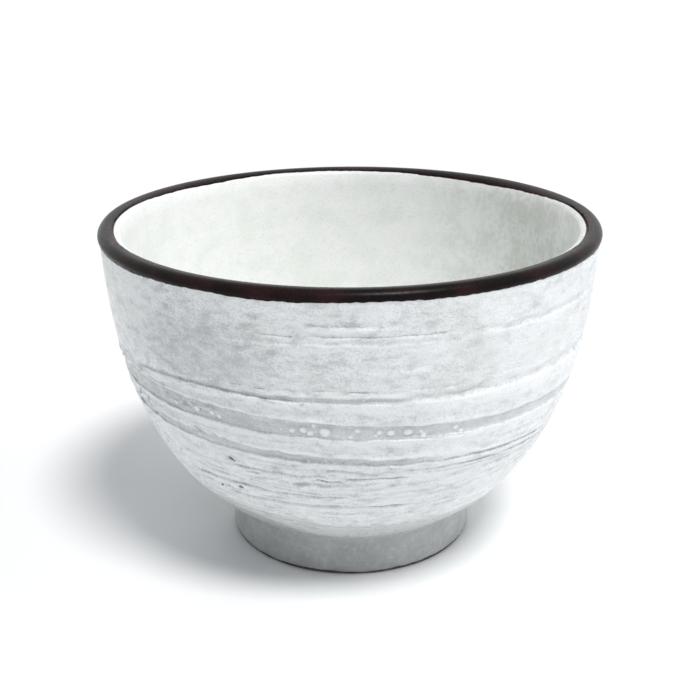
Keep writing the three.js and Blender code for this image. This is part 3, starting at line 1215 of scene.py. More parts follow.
ARC_GROOVES = (
    Groove(68.1, 1.25, 0.34, grey=0.5, line=0.55, shelf=0.22, reach=1.6, white=0.95, start=-10.5, end=9.5),
    Groove(68.0, 0.35, 0.1, grey=0.2, line=0.6, shelf=0.0, start=-4.0, end=7.0),
    Groove(65.5, 0.5, 0.24, grey=0.4, line=0.95, shelf=0.1, reach=0.9, start=-19.5, end=-10.2, fade=1.5),
    Groove(65.4, 0.5, 0.24, grey=0.4, line=0.95, shelf=0.1, reach=0.9, start=-9.4, end=21.0),
    Groove(65.5, 1.8, 0.36, grey=0.4, line=0.32, shelf=0.1, reach=1.8, white=0.4, uneven=0.2,
           start=24.0, end=68.0, fade=10.0),
    Groove(64.0, 0.5, 0.1, grey=0.25, line=0.2, shelf=0.2, reach=0.9, white=0.95, start=-28.0, end=17.0),
    Groove(61.7, 0.8, 0.06, grey=0.45, line=0.25, shelf=0.05, start=-15.0, end=-9.5),
    Groove(60.9, 0.7, 0.06, grey=0.4, line=0.3, shelf=0.05, start=-7.5, end=-2.5),
    Groove(59.0, 0.8, 0.06, grey=0.35, line=0.25, shelf=0.08, start=2.0, end=17.0),
    Groove(54.4, 0.8, 0.14, line=0.5, shelf=0.08, reach=0.8, start=-40.0, end=-36.5, fade=1.0),
    Groove(54.45, 0.6, 0.2, line=0.9, shelf=0.12, reach=0.8, start=-27.0, end=-22.5, fade=1.0),
    Groove(54.35, 0.6, 0.24, line=0.9, shelf=0.1, reach=0.8, start=-20.2, end=-17.2, fade=1.0),
    Groove(54.4, 0.55, 0.16, line=0.75, shelf=0.1, reach=0.8, start=-15.2, end=-10.2, fade=1.5),
    Groove(54.6, 0.55, 0.13, line=0.65, shelf=0.08, reach=0.8, start=-9.0, end=-1.5, fade=2.0),
    Groove(54.4, 0.5, 0.17, line=0.85, shelf=0.1, reach=0.8, start=-1.2, end=6.0, fade=1.5),
    Groove(54.6, 0.7, 0.16, line=0.6, shelf=0.08, start=12.0, end=17.0, fade=1.5),
    Groove(54.4, 0.7, 0.16, line=0.6, shelf=0.08, start=17.8, end=22.5, fade=1.5),
    Groove(41.0, 0.8, 0.26, line=0.7, bead=0.08, shelf=0.16, white=0.9, start=36.5, end=80.0),
    Groove(35.65, 0.8, 0.26, line=1.0, shelf=0.16, start=-6.2, end=2.8, fade=1.4),
    Groove(35.75, 0.75, 0.24, line=0.75, shelf=0.16, reach=1.3, start=6.0, end=66.0),
    Groove(33.75, 0.7, 0.22, line=0.7, shelf=0.14, start=-31.0, end=-8.5),
    Groove(33.2, 0.85, 0.28, line=0.95, shelf=0.16, reach=1.3, start=-9.0, end=-1.5, fade=1.5),
    Groove(33.75, 0.65, 0.24, line=0.85, shelf=0.14, start=-2.5, end=15.0, fade=2.0),
    Groove(33.1, 0.8, 0.18, grey=0.5, line=0.6, shelf=0.1, start=-28.0, end=-20.5, fade=2.0),
    Groove(31.8, 1.3, 0.1, grey=0.6, line=0.4, shelf=0.1, start=-15.5, end=-8.0, fade=2.0),
    Groove(30.7, 0.6, 0.12, line=0.4, shelf=0.1, start=-8.0, end=31.0, fade=6.0),
    Groove(29.4, 0.6, 0.12, line=0.35, shelf=0.1, start=-34.0, end=4.0, fade=6.0),
    Groove(28.4, 0.8, 0.22, line=0.75, shelf=0.15, reach=1.3, start=-50.0, end=1.0),
    Groove(28.2, 0.7, 0.18, line=0.7, shelf=0.13, start=6.0, end=9.5, fade=1.0),
    Groove(28.3, 0.8, 0.16, line=0.5, shelf=0.14, start=10.5, end=31.0, fade=2.0),
    Groove(26.5, 0.6, 0.12, line=0.4, shelf=0.1, start=-44.0, end=-6.0, fade=6.0),
    Groove(25.5, 0.9, 0.22, line=0.75, shelf=0.15, start=-40.0, end=19.0, fade=6.0),
    Groove(25.2, 0.75, 0.16, line=0.5, shelf=0.1, start=20.0, end=38.0),
    Groove(23.3, 0.7, 0.2, line=0.75, shelf=0.13, start=-9.0, end=14.0, fade=2.0),
    Groove(23.0, 0.7, 0.14, line=0.45, shelf=0.1, start=-36.0, end=-14.0, fade=6.0),
    Groove(22.4, 0.8, 0.18, line=0.7, shelf=0.1, start=15.5, end=18.5, fade=1.2),
    Groove(21.6, 0.5, 0.1, line=0.35, shelf=0.08, start=-30.0, end=12.0, fade=6.0),
    Groove(19.5, 0.7, 0.24, line=1.0, shelf=0.1, start=30.8, end=34.5, fade=1.2),
    Groove(18.7, 0.7, 0.18, line=0.85, shelf=0.12, start=-23.0, end=-16.5, fade=2.0),
    Groove(18.4, 0.7, 0.18, line=0.85, shelf=0.12, start=6.5, end=13.5, fade=2.0),
    Groove(18.2, 0.7, 0.18, line=0.85, shelf=0.12, start=17.0, end=22.5, fade=1.5),
    Groove(66.1, 0.5, 0.18, line=0.8, shelf=0.1, start=96.0, end=150.0),
    Groove(59.4, 0.6, 0.14, line=0.5, shelf=0.1, start=118.0, end=176.0, fade=8.0),
    Groove(62.4, 0.5, 0.18, line=0.7, shelf=0.1, start=-158.0, end=-96.0, fade=8.0),
    Groove(55.2, 0.5, 0.18, line=0.7, shelf=0.1, start=-130.0, end=-84.0),
    Groove(34.2, 0.65, 0.24, line=0.8, shelf=0.16, start=82.0, end=168.0),
    Groove(32.0, 0.65, 0.24, line=0.8, shelf=0.16, start=152.0, end=254.0),
    Groove(29.2, 0.6, 0.24, line=0.75, shelf=0.15, start=70.0, end=143.0),
    Groove(26.8, 0.6, 0.22, line=0.7, shelf=0.14, start=165.0, end=292.0),
    Groove(23.8, 0.55, 0.18, line=0.6, shelf=0.12, start=52.0, end=236.0, fade=10.0),
    Groove(41.5, 0.7, 0.22, line=0.7, bead=0.06, shelf=0.14, start=142.0, end=206.0, fade=8.0),
)

DOMES = tuple(
    Dome(turn, place, radius)
    for turn, place, radius in (
        (-42.9, 44.46, 0.53), (-36.1, 44.71, 0.70), (-31.9, 44.57, 0.60), (-30.1, 44.42, 0.70),
        (-12.7, 44.39, 0.70), (-10.2, 44.64, 0.82), (-8.7, 44.06, 0.70), (-7.9, 45.72, 0.57),
        (-5.6, 44.50, 1.19), (-0.1, 43.92, 0.57), (1.4, 45.36, 0.66), (5.3, 44.17, 0.51),
        (6.1, 44.93, 0.63), (8.6, 44.64, 0.91), (12.4, 44.71, 1.06), (15.4, 44.93, 0.60),
        (16.0, 43.99, 0.75), (23.5, 45.07, 0.75), (25.0, 44.06, 0.66),
    )
)

PINHOLES = (
    Pinhole(-29.4, 34.25, 0.85, 0.34, -32.0),
    Pinhole(-30.3, 26.8, 0.75, 0.6),
    Pinhole(-37.4, 25.9, 0.3, 0.22),
    Pinhole(118.0, 31.0, 0.40, 0.30),
    Pinhole(203.0, 36.4, 0.55, 0.28, 20.0),
)


@dataclass(frozen=True)
class ThrowingLines:
    """Fine uneven ledges that the throwing fingers left between the grooves.

    Attributes:
        pitch: About how far apart they are, in millimetres.
        wander: How far they wander, counted in pitches.
        depths: Heights on the wall and how deep the ledges are there.
        seed: Picks their course.
    """

    pitch: float
    wander: float
    depths: tuple[Place, ...]
    seed: float

    def ledges(self, turn: np.ndarray, place: np.ndarray) -> tuple[np.ndarray, np.ndarray]:
        """Finds the ledges at some points of the wall.

        Args:
            turn: Angles round the bowl.
            place: Heights on the wall's rows.

        Returns:
            How far up its ledge each point lies, from 0 to 1 at the next ridge, and the ledge's depth.
        """
        course = lumps(turn, place, 34.0, 5.0, self.seed)
        course += 0.35 * lumps(turn, place, 6.0, 2.5, self.seed + 9.0)
        level = eased(lumps(turn, place, 26.0, 2.2, self.seed + 5.0), -0.25, 0.25)
        heights, depths = np.array(self.depths).T
        return (place / self.pitch + self.wander * course) % 1.0, np.interp(place, heights, depths) * level


THROWING_LINES = (
    ThrowingLines(1.75, 1.1, ((10.0, 0.0), (12.0, 0.06), (19.6, 0.07), (21.0, 0.17), (34.0, 0.2),
                              (37.5, 0.14), (53.0, 0.08), (56.0, 0.03), (71.0, 0.02)), 3.0),
    ThrowingLines(3.3, 1.5, ((9.0, 0.0), (20.0, 0.0), (22.0, 0.12), (35.0, 0.18), (52.0, 0.14),
                             (56.0, 0.06), (71.0, 0.03)), 57.0),
)


@dataclass(frozen=True)
class RoughPatch:
    """A stretch of the wall where the glaze crawled into short lumps, or lies thin and grey without them.

    Attributes:
        turn: Its middle, in degrees from the front towards the right.
        place: Its middle height on the wall's rows, in millimetres.
        half_turn: Half its length, in degrees.
        half_height: Half its height.
        rise: Height of its lumps, or 0 where there are none.
        grey: How grey its thin glaze is, from 0 to 1.
    """

    turn: float
    place: float
    half_turn: float
    half_height: float
    rise: float
    grey: float = 0.0

    def amount(self, turn: np.ndarray, place: np.ndarray) -> np.ndarray:
        """How much of the patch there is.

        Args:
            turn: Angles round the bowl.
            place: Heights on the wall's rows.

        Returns:
            Its share at each point, 1 at its middle and 0 outside.
        """
        across = turned_from(turn, math.radians(self.turn)) / math.radians(self.half_turn)
        off = np.hypot(across, (place - self.place) / self.half_height)
        return 1.0 - eased(off, 0.3, 1.0)


ROUGH_PATCHES = (
    RoughPatch(-62.0, 48.5, 17.0, 7.5, 0.34),
    RoughPatch(-40.0, 45.4, 14.0, 2.6, 0.34),
    RoughPatch(-58.0, 38.0, 15.0, 4.5, 0.26),
    RoughPatch(-14.0, 51.6, 9.0, 1.3, 0.16),
    RoughPatch(150.0, 45.4, 20.0, 3.0, 0.25),
    RoughPatch(-36.0, 39.2, 16.0, 1.9, 0.16),
    RoughPatch(-54.0, 29.5, 15.0, 5.0, 0.2),
    RoughPatch(-38.0, 26.0, 6.0, 1.6, 0.14),
    RoughPatch(-31.0, 60.0, 30.0, 15.0, 0.0, 0.56),
    RoughPatch(-4.0, 58.0, 12.0, 6.0, 0.0, 0.3),
    RoughPatch(6.0, 47.8, 22.0, 1.4, 0.0, 0.48),
    RoughPatch(33.0, 48.2, 26.0, 1.4, 0.0, 0.42),
)


class Marks(dict[Mark, np.ndarray]):
    """The amounts of each mark on the points of a face."""

    def lift(self, mark: Mark, amounts: np.ndarray) -> None:
        """Raises a mark's amounts to new ones where these are larger."""
        self[mark] = np.maximum(self[mark], amounts)


@dataclass
class Coat:
    """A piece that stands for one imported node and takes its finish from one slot.

    Attributes:
        finish: Its glaze or clay.
    """

    finish: Finish

    NODE: ClassVar[str]
    SLOT: ClassVar[Slot]

    def dress(self, piece: Piece) -> bpy.types.Object:
        """Gives the built piece its finish and its node's place."""
        return piece.settle(self.NODE, self.finish.material())


@dataclass
class OuterCoat(Coat):
    """The pale coat on the outside of the wall, with its throwing grooves, bubbles and pinholes.

    Attributes:
        outline: The bowl's outline.
        thickness: The coat's thickness, in millimetres.
        steps: Flat faces in a turn.
        row_step: Distance between plain rows along the wall.
        fine_step: That distance where the fine throwing lines are.
        fine_zone: Heights between which they are.
        least_step: Least distance between rows.
        lap: Height to which the coat laps down over the foot.
        lap_rise: How far it stands over the foot's glaze there.
        tuck: How deep it lies at the lip band's edge.
        under_band: How deep it lies under the band.
        hair_lines: Faint short grooves scattered over the wall.
        dome_rise: Height of a bubble as a share of its radius.
        pit_depth: Depth of the pinholes.
        droop: How far the upper groove sinks at the bowl's left.
        painted_shade_left: How much higher the foot's grey and the trimmed zone reach there, as painted
            shade.
        cover: How far below the lip's crest the band covers the coat.
        edge_sway: How uneven the coat's lower edge is.
        pit_rim: Rise of the glaze round a pinhole.
    """

    NODE = "outer_glaze"
    SLOT = Slot.PALE_GLAZE

    outline: Outline
    thickness: float = 0.9
    steps: int = 368
    row_step: float = 0.76
    fine_step: float = 0.4
    fine_zone: Place = (11.5, 36.8)
    least_step: float = 0.17
    lap: float = 8.95
    lap_rise: float = 0.05
    tuck: float = 0.12
    under_band: float = 0.3
    hair_lines: int = 60
    dome_rise: float = 0.24
    pit_depth: float = 0.5
    droop: float = 1.1
    painted_shade_left: float = 8.0
    cover: float = 2.7
    edge_sway: float = 0.14
    pit_rim: float = 0.08

    HAIR_SEED = 41
    HAIR_ZONES = ((20.8, 36.5), (20.8, 36.5), (36.5, 53.0), (54.0, 70.5))
    SWAY_SEED = 23
    SWAY_WAVES = (2, 3, 5, 8, 11, 14, 17, 21, 26, 31, 37, 44, 52, 61)
    EDGE_SEED = 5
    FLOW = ((8.9, 0.0), (20.5, 0.0), (24.0, 0.35), (28.0, 0.9), (33.0, 1.0), (35.3, 2.5), (37.4, 2.6),
            (38.9, 3.4), (43.7, 1.9), (47.2, 2.5), (52.5, 0.0), (73.0, 0.0))

    @cached_property
    def hairs(self) -> tuple[Groove, ...]:
        """Faint grooves of the throwing hand, scattered over the wall."""
        draws = random.Random(self.HAIR_SEED)
        hairs = []
        for _ in range(self.hair_lines):
            start = draws.uniform(-180.0, 180.0)
            depth = draws.uniform(0.03, 0.11)
            hairs.append(
                Groove(
                    draws.uniform(*draws.choice(self.HAIR_ZONES)),
                    draws.uniform(0.35, 0.7),
                    depth,
                    grey=depth * 3.0,
                    line=depth * 4.5,
                    shelf=depth * 0.8,
                    white=depth * 5.0,
                    start=start,
                    end=start + draws.uniform(6.0, 38.0),
                    fade=5.0,
                )
            )
        return tuple(hairs)

    def is_fine(self, height: float) -> bool:
        """Whether a height lies where the fine throwing lines are."""
        return self.fine_zone[0] < height < self.fine_zone[1]

    def rows(self) -> np.ndarray:
        """Sets the face's rows at the front: close at the grooves, even between them.

        Returns:
            Their heights, from the lowest up.
        """
        radii, heights = self.outline.outside.T
        chosen = (heights > self.lap) & (heights < self.outline.height - 1.7)
        along = np.cumsum(np.hypot(np.gradient(radii[chosen]), np.gradient(heights[chosen])))
        places: list[float] = []
        while not places or places[-1] < along[-1]:
            height = float(np.interp(places[-1], along, heights[chosen])) if places else self.lap
            step = self.fine_step if self.is_fine(height) else self.row_step
            places.append((places[-1] if places else 0.0) + step)
        plain = np.interp(places, along, heights[chosen])
        rows: list[float] = []
        for row in sorted(row for groove in MAIN_GROOVES + ARC_GROOVES for row in groove.rows()):
            if not rows or row - rows[-1] >= self.least_step:
                rows.append(row)
        for row in plain:
            apart = self.least_step if self.is_fine(row) else self.row_step * 0.5
            if min(abs(row - other) for other in rows) >= apart:
                rows.append(float(row))
        top = self.outline.height
        ends = (self.lap, self.lap + 0.15, self.lap + 0.35, top - 2.2, top - 1.95, top - 1.75)
        return np.array(sorted(set(rows) | set(ends)))

    def flowed(self, place: np.ndarray, turn: np.ndarray) -> np.ndarray:
        """Heights of the rows round the bowl, which climb to the left and sway.

        Args:
            place: Heights of the rows at the front.
            turn: Angles round the bowl.

        Returns:
            Heights at those angles.
        """
        nodes, tilts = np.array(self.FLOW).T
        tilt = np.interp(place, nodes, tilts)
        draws = random.Random(self.SWAY_SEED)
        sway = np.zeros_like(place)
        for waves in self.SWAY_WAVES:
            size = 0.15 / waves**0.7
            drift = draws.uniform(0.25, 0.6) * min(waves, 12) * 0.16
            sway += size * np.cos(waves * turn + drift * place + draws.uniform(0.0, math.tau))
        sway += 0.22 * lumps(turn, place, 9.0, 6.0, 31.0) + 0.3 * lumps(turn, place, 2.4, 3.0, 37.0)
        free = hump(place, 17.0, 20.5, 67.0, 71.0)
        edge = (1.0 - eased(place, self.lap, self.lap + 1.2)) * ragged(turn, self.EDGE_SEED, 4, 60)
        droop = hump(-np.degrees(turn), 28.0, 64.0, 85.0, 150.0) * hump(place, 47.5, 51.0, 55.0, 66.0)
        return place - tilt * np.sin(turn) - self.droop * droop + sway * free + self.edge_sway * edge

    def build(self) -> Piece:
        """Turns the coat and cuts its grooves, bubbles and pinholes.

        Returns:
            The coat's piece, with its marks.
        """
        rows = self.rows()
        face = self.outline.outside_at(rows, np.zeros_like(rows))
        behind = np.linspace(rows[-1], rows[0] + 0.2, 9)
        back = self.outline.outside_at(behind, np.full_like(behind, self.thickness))
        turning = Turning(face, back, self.steps)
        turning.refine(self.near_patches, 1)
        turning.refine(self.near_spots, 2)
        piece = turning.finish("outer_glaze_coat")
        self.shape(piece)
        return piece

    def near_spots(self, turn: np.ndarray, place: np.ndarray) -> np.ndarray:
        """Which places lie at a bubble or a pinhole.

        Args:
            turn: Angles round the bowl.
            place: Heights on the wall's rows.

        Returns:
            True for those that do.
        """
        near = np.zeros(len(turn), dtype=bool)
        spots = [(dome.turn, dome.place, dome.radius) for dome in DOMES]
        spots += [(hole.turn, hole.place, hole.length) for hole in PINHOLES]
        for middle, height, size in spots:
            across = MEAN_RADIUS * turned_from(turn, math.radians(middle))
            near |= np.hypot(across, place - height) < size * 1.4 + 0.5
        return near

    @staticmethod
    def near_patches(turn: np.ndarray, place: np.ndarray) -> np.ndarray:
        """Which places lie in a rough patch."""
        rough = [patch for patch in ROUGH_PATCHES if patch.rise > 0.0]
        return np.any([patch.amount(turn, place) > 0.02 for patch in rough], axis=0)

    def shape(self, piece: Piece) -> None:
        """Moves the face's points to the relief and marks them for the glaze.

        Args:
            piece: The turned coat.
        """
        face = piece.is_face
        turn = piece.turn[face]
        place = piece.height[face]
        radius = piece.radius[face]
        depth = np.zeros_like(place)
        marks = Marks({mark: np.zeros_like(place) for mark in Mark if mark is not Mark.EDGE})
        # Painted shade at the lower left: the heights that the finish reads are lowered there, so that the
        # trimmed zone and the foot's grey reach higher.
        left = eased(-np.sin(turn), 0.1, 0.62) * (1.0 - eased(place, 17.5, 21.5))
        marks[Mark.PLACE] = (place - self.painted_shade_left * left) * MM
        for groove in MAIN_GROOVES + ARC_GROOVES + self.hairs:
            strength = groove.strength(turn)
            depth += strength * groove.relief(place)
            share = np.minimum(strength, 1.0)
            marks.lift(Mark.GREY, share * (groove.grey * groove.greyness(place)))
            marks.lift(Mark.LINE, share * (groove.line * groove.darkness(place)))
            marks.lift(Mark.RIDGE, share * groove.whiteness(place))
        for lines in THROWING_LINES:
            share, level = lines.ledges(turn, place)
            depth += level * eased(share, 0.0, 0.18) * (1.0 - share)
            # Each ledge's hollow gets a dark line of painted shade, and its upper part whitens, thick glaze
            # with a painted highlight.
            marks.lift(Mark.LINE, level * 1.7 * hump(share, 0.0, 0.12, 0.16, 0.55))
            marks.lift(Mark.RIDGE, level * 3.2 * eased(share, 0.6, 0.9))
        depth += self.crawled(turn, place, marks)
        depth += self.bubbled(turn, place, radius, marks)
        depth += self.pitted(turn, place, radius, marks)
        height = self.flowed(place, turn)
        top = self.outline.height - self.cover
        depth += self.tuck * eased(height, top - 0.9, top)
        depth += (self.under_band - self.tuck) * eased(height, top + 0.3, top + 0.8)
        depth -= self.lap_rise * (1.0 - eased(place, self.lap + 1.0, self.lap + 2.2))
        depth += self.lap_rise * 1.2 * (1.0 - eased(place, self.lap, self.lap + 0.3))
        piece.move(self.outline.outside_at(height, depth), face)
        for mark, amounts in marks.items():
            whole = np.zeros_like(piece.turn)
            whole[face] = amounts
            piece.mark(mark, whole)

    @staticmethod
    def crawled(turn: np.ndarray, place: np.ndarray, marks: Marks) -> np.ndarray:
        """Raises the lumps of the rough patches.

        Args:
            turn: Angles of the face's points.
            place: Their heights on the wall's rows.
            marks: Amounts that the lumps are added to.

        Returns:
            Depth that the lumps add, negative where they rise.
        """
        depth = np.zeros_like(place)
        for patch in ROUGH_PATCHES:
            amount = patch.amount(turn, place)
            marks.lift(Mark.GREY, patch.grey * amount)
            if patch.rise == 0.0:
                continue
            chosen = amount > 0.0
            bumps = lumps(turn[chosen], place[chosen], 2.4, 1.0, patch.turn)
            bumps += 0.6 * lumps(turn[chosen], place[chosen], 1.2, 0.6, patch.place)
            depth[chosen] -= patch.rise * amount[chosen] * bumps
            # Hollows between the lumps get painted shade, and raised lumps whiten, thick glaze with a
            # painted highlight.
            hollow = eased(-bumps, 0.05, 0.45) * amount[chosen]
            raised = eased(bumps, 0.1, 0.5) * amount[chosen]
            marks[Mark.LINE][chosen] = np.maximum(marks[Mark.LINE][chosen], 0.75 * hollow)
            marks[Mark.RIDGE][chosen] = np.maximum(marks[Mark.RIDGE][chosen] * (1.0 - hollow), 0.9 * raised)
        return depth

    def bubbled(
        self, turn: np.ndarray, place: np.ndarray, radius: np.ndarray, marks: Marks
    ) -> np.ndarray:
        """Raises the bubbles of white glaze.

        Args:
            turn: Angles of the face's points.
            place: Their heights on the wall's rows.
            radius: Their distances from the axis.
            marks: Amounts that the bubbles are added to.

        Returns:
            Depth that the bubbles add, negative where they rise.
        """
        depth = np.zeros_like(place)
        for dome in DOMES:
            across = radius * turned_from(turn, math.radians(dome.turn))
            off = np.hypot(across, (place - dome.place) * 1.06) / dome.radius
            depth -= dome.radius * self.dome_rise * np.clip(1.0 - off * off, 0.0, 1.0)
            marks.lift(Mark.DOME, 1.0 - eased(off, 0.6, 1.0))
            marks.lift(Mark.HALO, 1.0 - eased(off, 1.0, 1.6))
        return depth

    def pitted(
        self, turn: np.ndarray, place: np.ndarray, radius: np.ndarray, marks: Marks
    ) -> np.ndarray:
        """Sinks the pinholes.

        Args:
            turn: Angles of the face's points.
            place: Their heights on the wall's rows.
            radius: Their distances from the axis.
            marks: Amounts that the pinholes are added to.

        Returns:
            Depth that the pinholes add.
        """
        depth = np.zeros_like(place)
        for hole in PINHOLES:
            across = radius * turned_from(turn, math.radians(hole.turn))
            up = (place - hole.place) * 1.2
            lean = math.radians(hole.slope)
            off = np.hypot(
                (across * math.cos(lean) + up * math.sin(lean)) / hole.length,
                (up * math.cos(lean) - across * math.sin(lean)) / hole.width,
            )
            depth += self.pit_depth * (1.0 - eased(off, 0.5, 1.0))
            depth -= self.pit_rim * hump(off, 0.8, 1.1, 1.1, 1.7)
            marks.lift(Mark.PIT, 1.0 - eased(off, 0.75, 1.05))
        return depth


@dataclass
class RimBand(Coat):
    """The dark band over the lip, with uneven edges.

    Attributes:
        outline: The bowl's outline.
        steps: Flat faces in a turn.
        rows: Rows across its face.
        thickness: Its thickness, in millimetres.
        edge_round: Width over which it thins out at its edges.
        edge_drop: How deep its edges lie.
        ragged_by: How uneven its edges are.
        mean_edges: Mean heights of its outer and its inner edge.
    """

    NODE = "rim_glaze"
    SLOT = Slot.IRON_GLAZE

    outline: Outline
    steps: int = 640
    rows: int = 30
    thickness: float = 0.28
    edge_round: float = 0.35
    edge_drop: float = 0.15
    ragged_by: float = 0.12
    mean_edges: Place = (72.1, 73.8)

    OUTER_SEED = 11
    INNER_SEED = 17
    OUTER_EDGE = ((-180, 72.2), (-120, 72.1), (-80, 71.65), (-65, 71.7), (-50, 71.75), (-42, 71.9),
                  (-34, 72.02), (-27, 71.8), (-20, 71.62), (-12, 71.8), (-5, 71.98), (8, 72.08),
                  (15, 71.92), (22, 71.8), (34, 71.95), (48, 72.05), (60, 72.0), (75, 71.75),
                  (95, 71.8), (120, 72.1))
    INNER_EDGE = ((-180, 74.0), (-160, 74.2), (-152, 73.94), (-140, 73.63), (-119, 73.96), (-100, 74.32),
                  (-80, 74.42), (-60, 74.3), (-30, 74.0), (30, 74.0), (55, 74.3), (80, 74.46),
                  (100, 74.36), (115, 73.8), (126, 73.45), (142, 73.3), (154, 73.56), (165, 73.8))

    def edge(self, turn: np.ndarray, places: Sequence[Place], seed: int, past_top: bool) -> np.ndarray:
        """Lengths over the lip at which the band ends.

        Args:
            turn: Angles round the bowl.
            places: Angles, in degrees, and heights of the edge.
            seed: Picks its unevenness.
            past_top: Whether it is the inner edge.

        Returns:
            Lengths along the outline over the lip.
        """
        angles, heights = np.array(places, dtype=float).T
        height = np.interp(np.degrees(turn), angles, heights, period=360.0)
        rough = 0.7 * ragged(turn, seed, 6, 30) + 0.5 * ragged(turn, seed + 1, 40, 200)
        return self.outline.rim_line.at_height(height, past_top) + self.ragged_by * rough

    def build(self) -> Piece:
        """Turns the band and draws its edges.

        Returns:
            The band's piece, with its marks.
        """
        line = self.outline.rim_line
        low = float(line.at_height(np.array([self.mean_edges[0]]), False)[0])
        high = float(line.at_height(np.array([self.mean_edges[1]]), True)[0])
        share = np.linspace(0.0, 1.0, self.rows)
        share = share - 0.09 * np.sin(math.tau * share)
        back_share = np.linspace(0.97, 0.03, 8)
        face = line.at(low + (high - low) * share, np.zeros_like(share))
        back = line.at(low + (high - low) * back_share, np.full_like(back_share, self.thickness))
        piece = Turning(face, back, self.steps).finish("rim_glaze_band")
        shares = np.concatenate((share, back_share))[np.rint(piece.row).astype(int)]
        start = self.edge(piece.turn, self.OUTER_EDGE, self.OUTER_SEED, False)
        end = self.edge(piece.turn, self.INNER_EDGE, self.INNER_SEED, True)
        length = start + (end - start) * shares
        inset = np.minimum(length - start, end - length)
        thin = 1.0 - np.clip(inset / self.edge_round, 0.0, 1.0)
        depth = np.where(
            piece.is_face,
            self.edge_drop * (1.0 - np.sqrt(1.0 - 0.98 * thin * thin)),
            self.thickness,
        )
        places = line.at(length, depth)
        places[:, 1] = self.outline.dipped(places[:, 1], piece.turn)
        piece.move(places, np.full(len(length), True))
        piece.mark(Mark.EDGE, 1.0 - eased(inset, 0.0, self.edge_round * 1.6))
        return piece


@dataclass
class Liner(Coat):
    """The smooth coat inside the bowl.

    Attributes:
        outline: The bowl's outline.
        steps: Flat faces in a turn.
        row_step: Distance between rows, in millimetres.
        thickness: Its thickness.
        tuck: How deep it lies at the lip band's edge.
        under_band: How deep it lies under the band.
        ripple: Height of the throwing ripples.
        crest_gap: How far below the lip's crest it begins.
        band_edge: Mean height of the band's inner edge.
    """

    NODE = "inner_glaze"
    SLOT = Slot.LINER_GLAZE

    outline: Outline
    steps: int = 288
    row_step: float = 0.8
    thickness: float = 0.6
    tuck: float = 0.12
    under_band: float = 0.3
    ripple: float = 0.02
    crest_gap: float = 0.35
    band_edge: float = 73.7

    def build(self) -> Piece:
        """Turns the liner and ripples its face.

        Returns:
            The liner's piece.
        """
        line = Line(self.outline.inside)
        start = float(line.at_height(np.array([self.outline.height - self.crest_gap]), True)[0])
        whole = float(line.length[-1])
        upper = np.arange(start, start + 5.0, 0.25)
        lengths = np.concatenate((upper, np.arange(start + 5.0, whole - 0.4, self.row_step), [whole]))
        behind = np.linspace(whole, start + 0.2, 14)
        face = line.at(lengths, np.zeros_like(lengths))
        back = line.at(behind, np.full_like(behind, self.thickness))
        face[-1, 0] = 0.0
        back[0, 0] = 0.0
        piece = Turning(face, back, self.steps).finish("inner_glaze_coat")
        length = np.concatenate((lengths, behind))[np.rint(piece.row).astype(int)]
        edge = line.at_height(np.array([self.band_edge]), True)[0] - start
        past = length - start
        swing = np.sin(length * 1.1 + piece.turn) + 0.6 * np.sin(length * 2.3 - 2.0 * piece.turn + 1.0)
        depth = self.ripple * swing * eased(past, 3.0, 8.0) * eased(piece.radius, 3.0, 12.0)
        depth += self.tuck * (1.0 - eased(past, edge + 0.4, edge + 1.6))
        depth += (self.under_band - self.tuck) * (1.0 - eased(past, 0.0, edge - 0.6))
        moved = piece.is_face & (piece.radius > 1.0)
        piece.move(line.at(length[moved], depth[moved]), moved)
        piece.height = self.outline.dipped(piece.height, piece.turn)
        return piece


@dataclass
class FootCoat(Coat):
    """The thin grey coat on the outside of the foot.

    Attributes:
        outline: The bowl's outline.
        thickness: Its thickness, in millimetres.
        bare_edge: Height up to which the clay stays bare.
        top: Height at which it ends, under the outer coat.
        edge_sink: How deep its lower edge lies.
        tool_mark: Depth of the turning tool's marks.
        wobble: How far it is out of round.
        edge_sway: How uneven its lower edge is.
        steps: Flat faces in a turn.
    """

    NODE = "foot_glaze"
    SLOT = Slot.GREY_GLAZE

    outline: Outline
    thickness: float = 0.48
    bare_edge: float = 0.45
    top: float = 9.5
    edge_sink: float = 0.25
    tool_mark: float = 0.025
    wobble: float = 0.04
    edge_sway: float = 0.09
    steps: int = 288

    def build(self) -> Piece:
        """Turns the coat, with an uneven lower edge and faint tool marks.

        Returns:
            The coat's piece, with its marks.
        """
        edge = self.bare_edge + np.array((0.0, 0.08, 0.2, 0.4))
        heights = np.concatenate((edge, np.linspace(1.6, self.top, 30)))
        face = self.outline.outside_at(heights, np.zeros_like(heights))
        behind = np.array((self.top, 6.5, 3.5, self.bare_edge))
        back = self.outline.outside_at(behind, np.full_like(behind, self.thickness))
        piece = Turning(face, back, self.steps).finish("foot_glaze_coat")
        above = piece.height - self.bare_edge
        depth = self.edge_sink * (1.0 - eased(above, 0.0, 0.45))
        wave = np.sin(piece.height * 5.0 + ragged(piece.turn, 3, 1, 5))
        depth += self.tool_mark * wave * eased(above, 0.4, 1.5)
        depth += self.wobble * ragged(piece.turn, 8, 3, 14)
        sway = self.edge_sway * ragged(piece.turn, 29, 5, 60) * (1.0 - eased(above, 0.0, 1.2))
        height = piece.height + sway
        face_only = piece.is_face
        piece.move(self.outline.outside_at(height[face_only], depth[face_only]), face_only)
        piece.mark(Mark.EDGE, 1.0 - eased(above, 0.0, 0.7))
        return piece


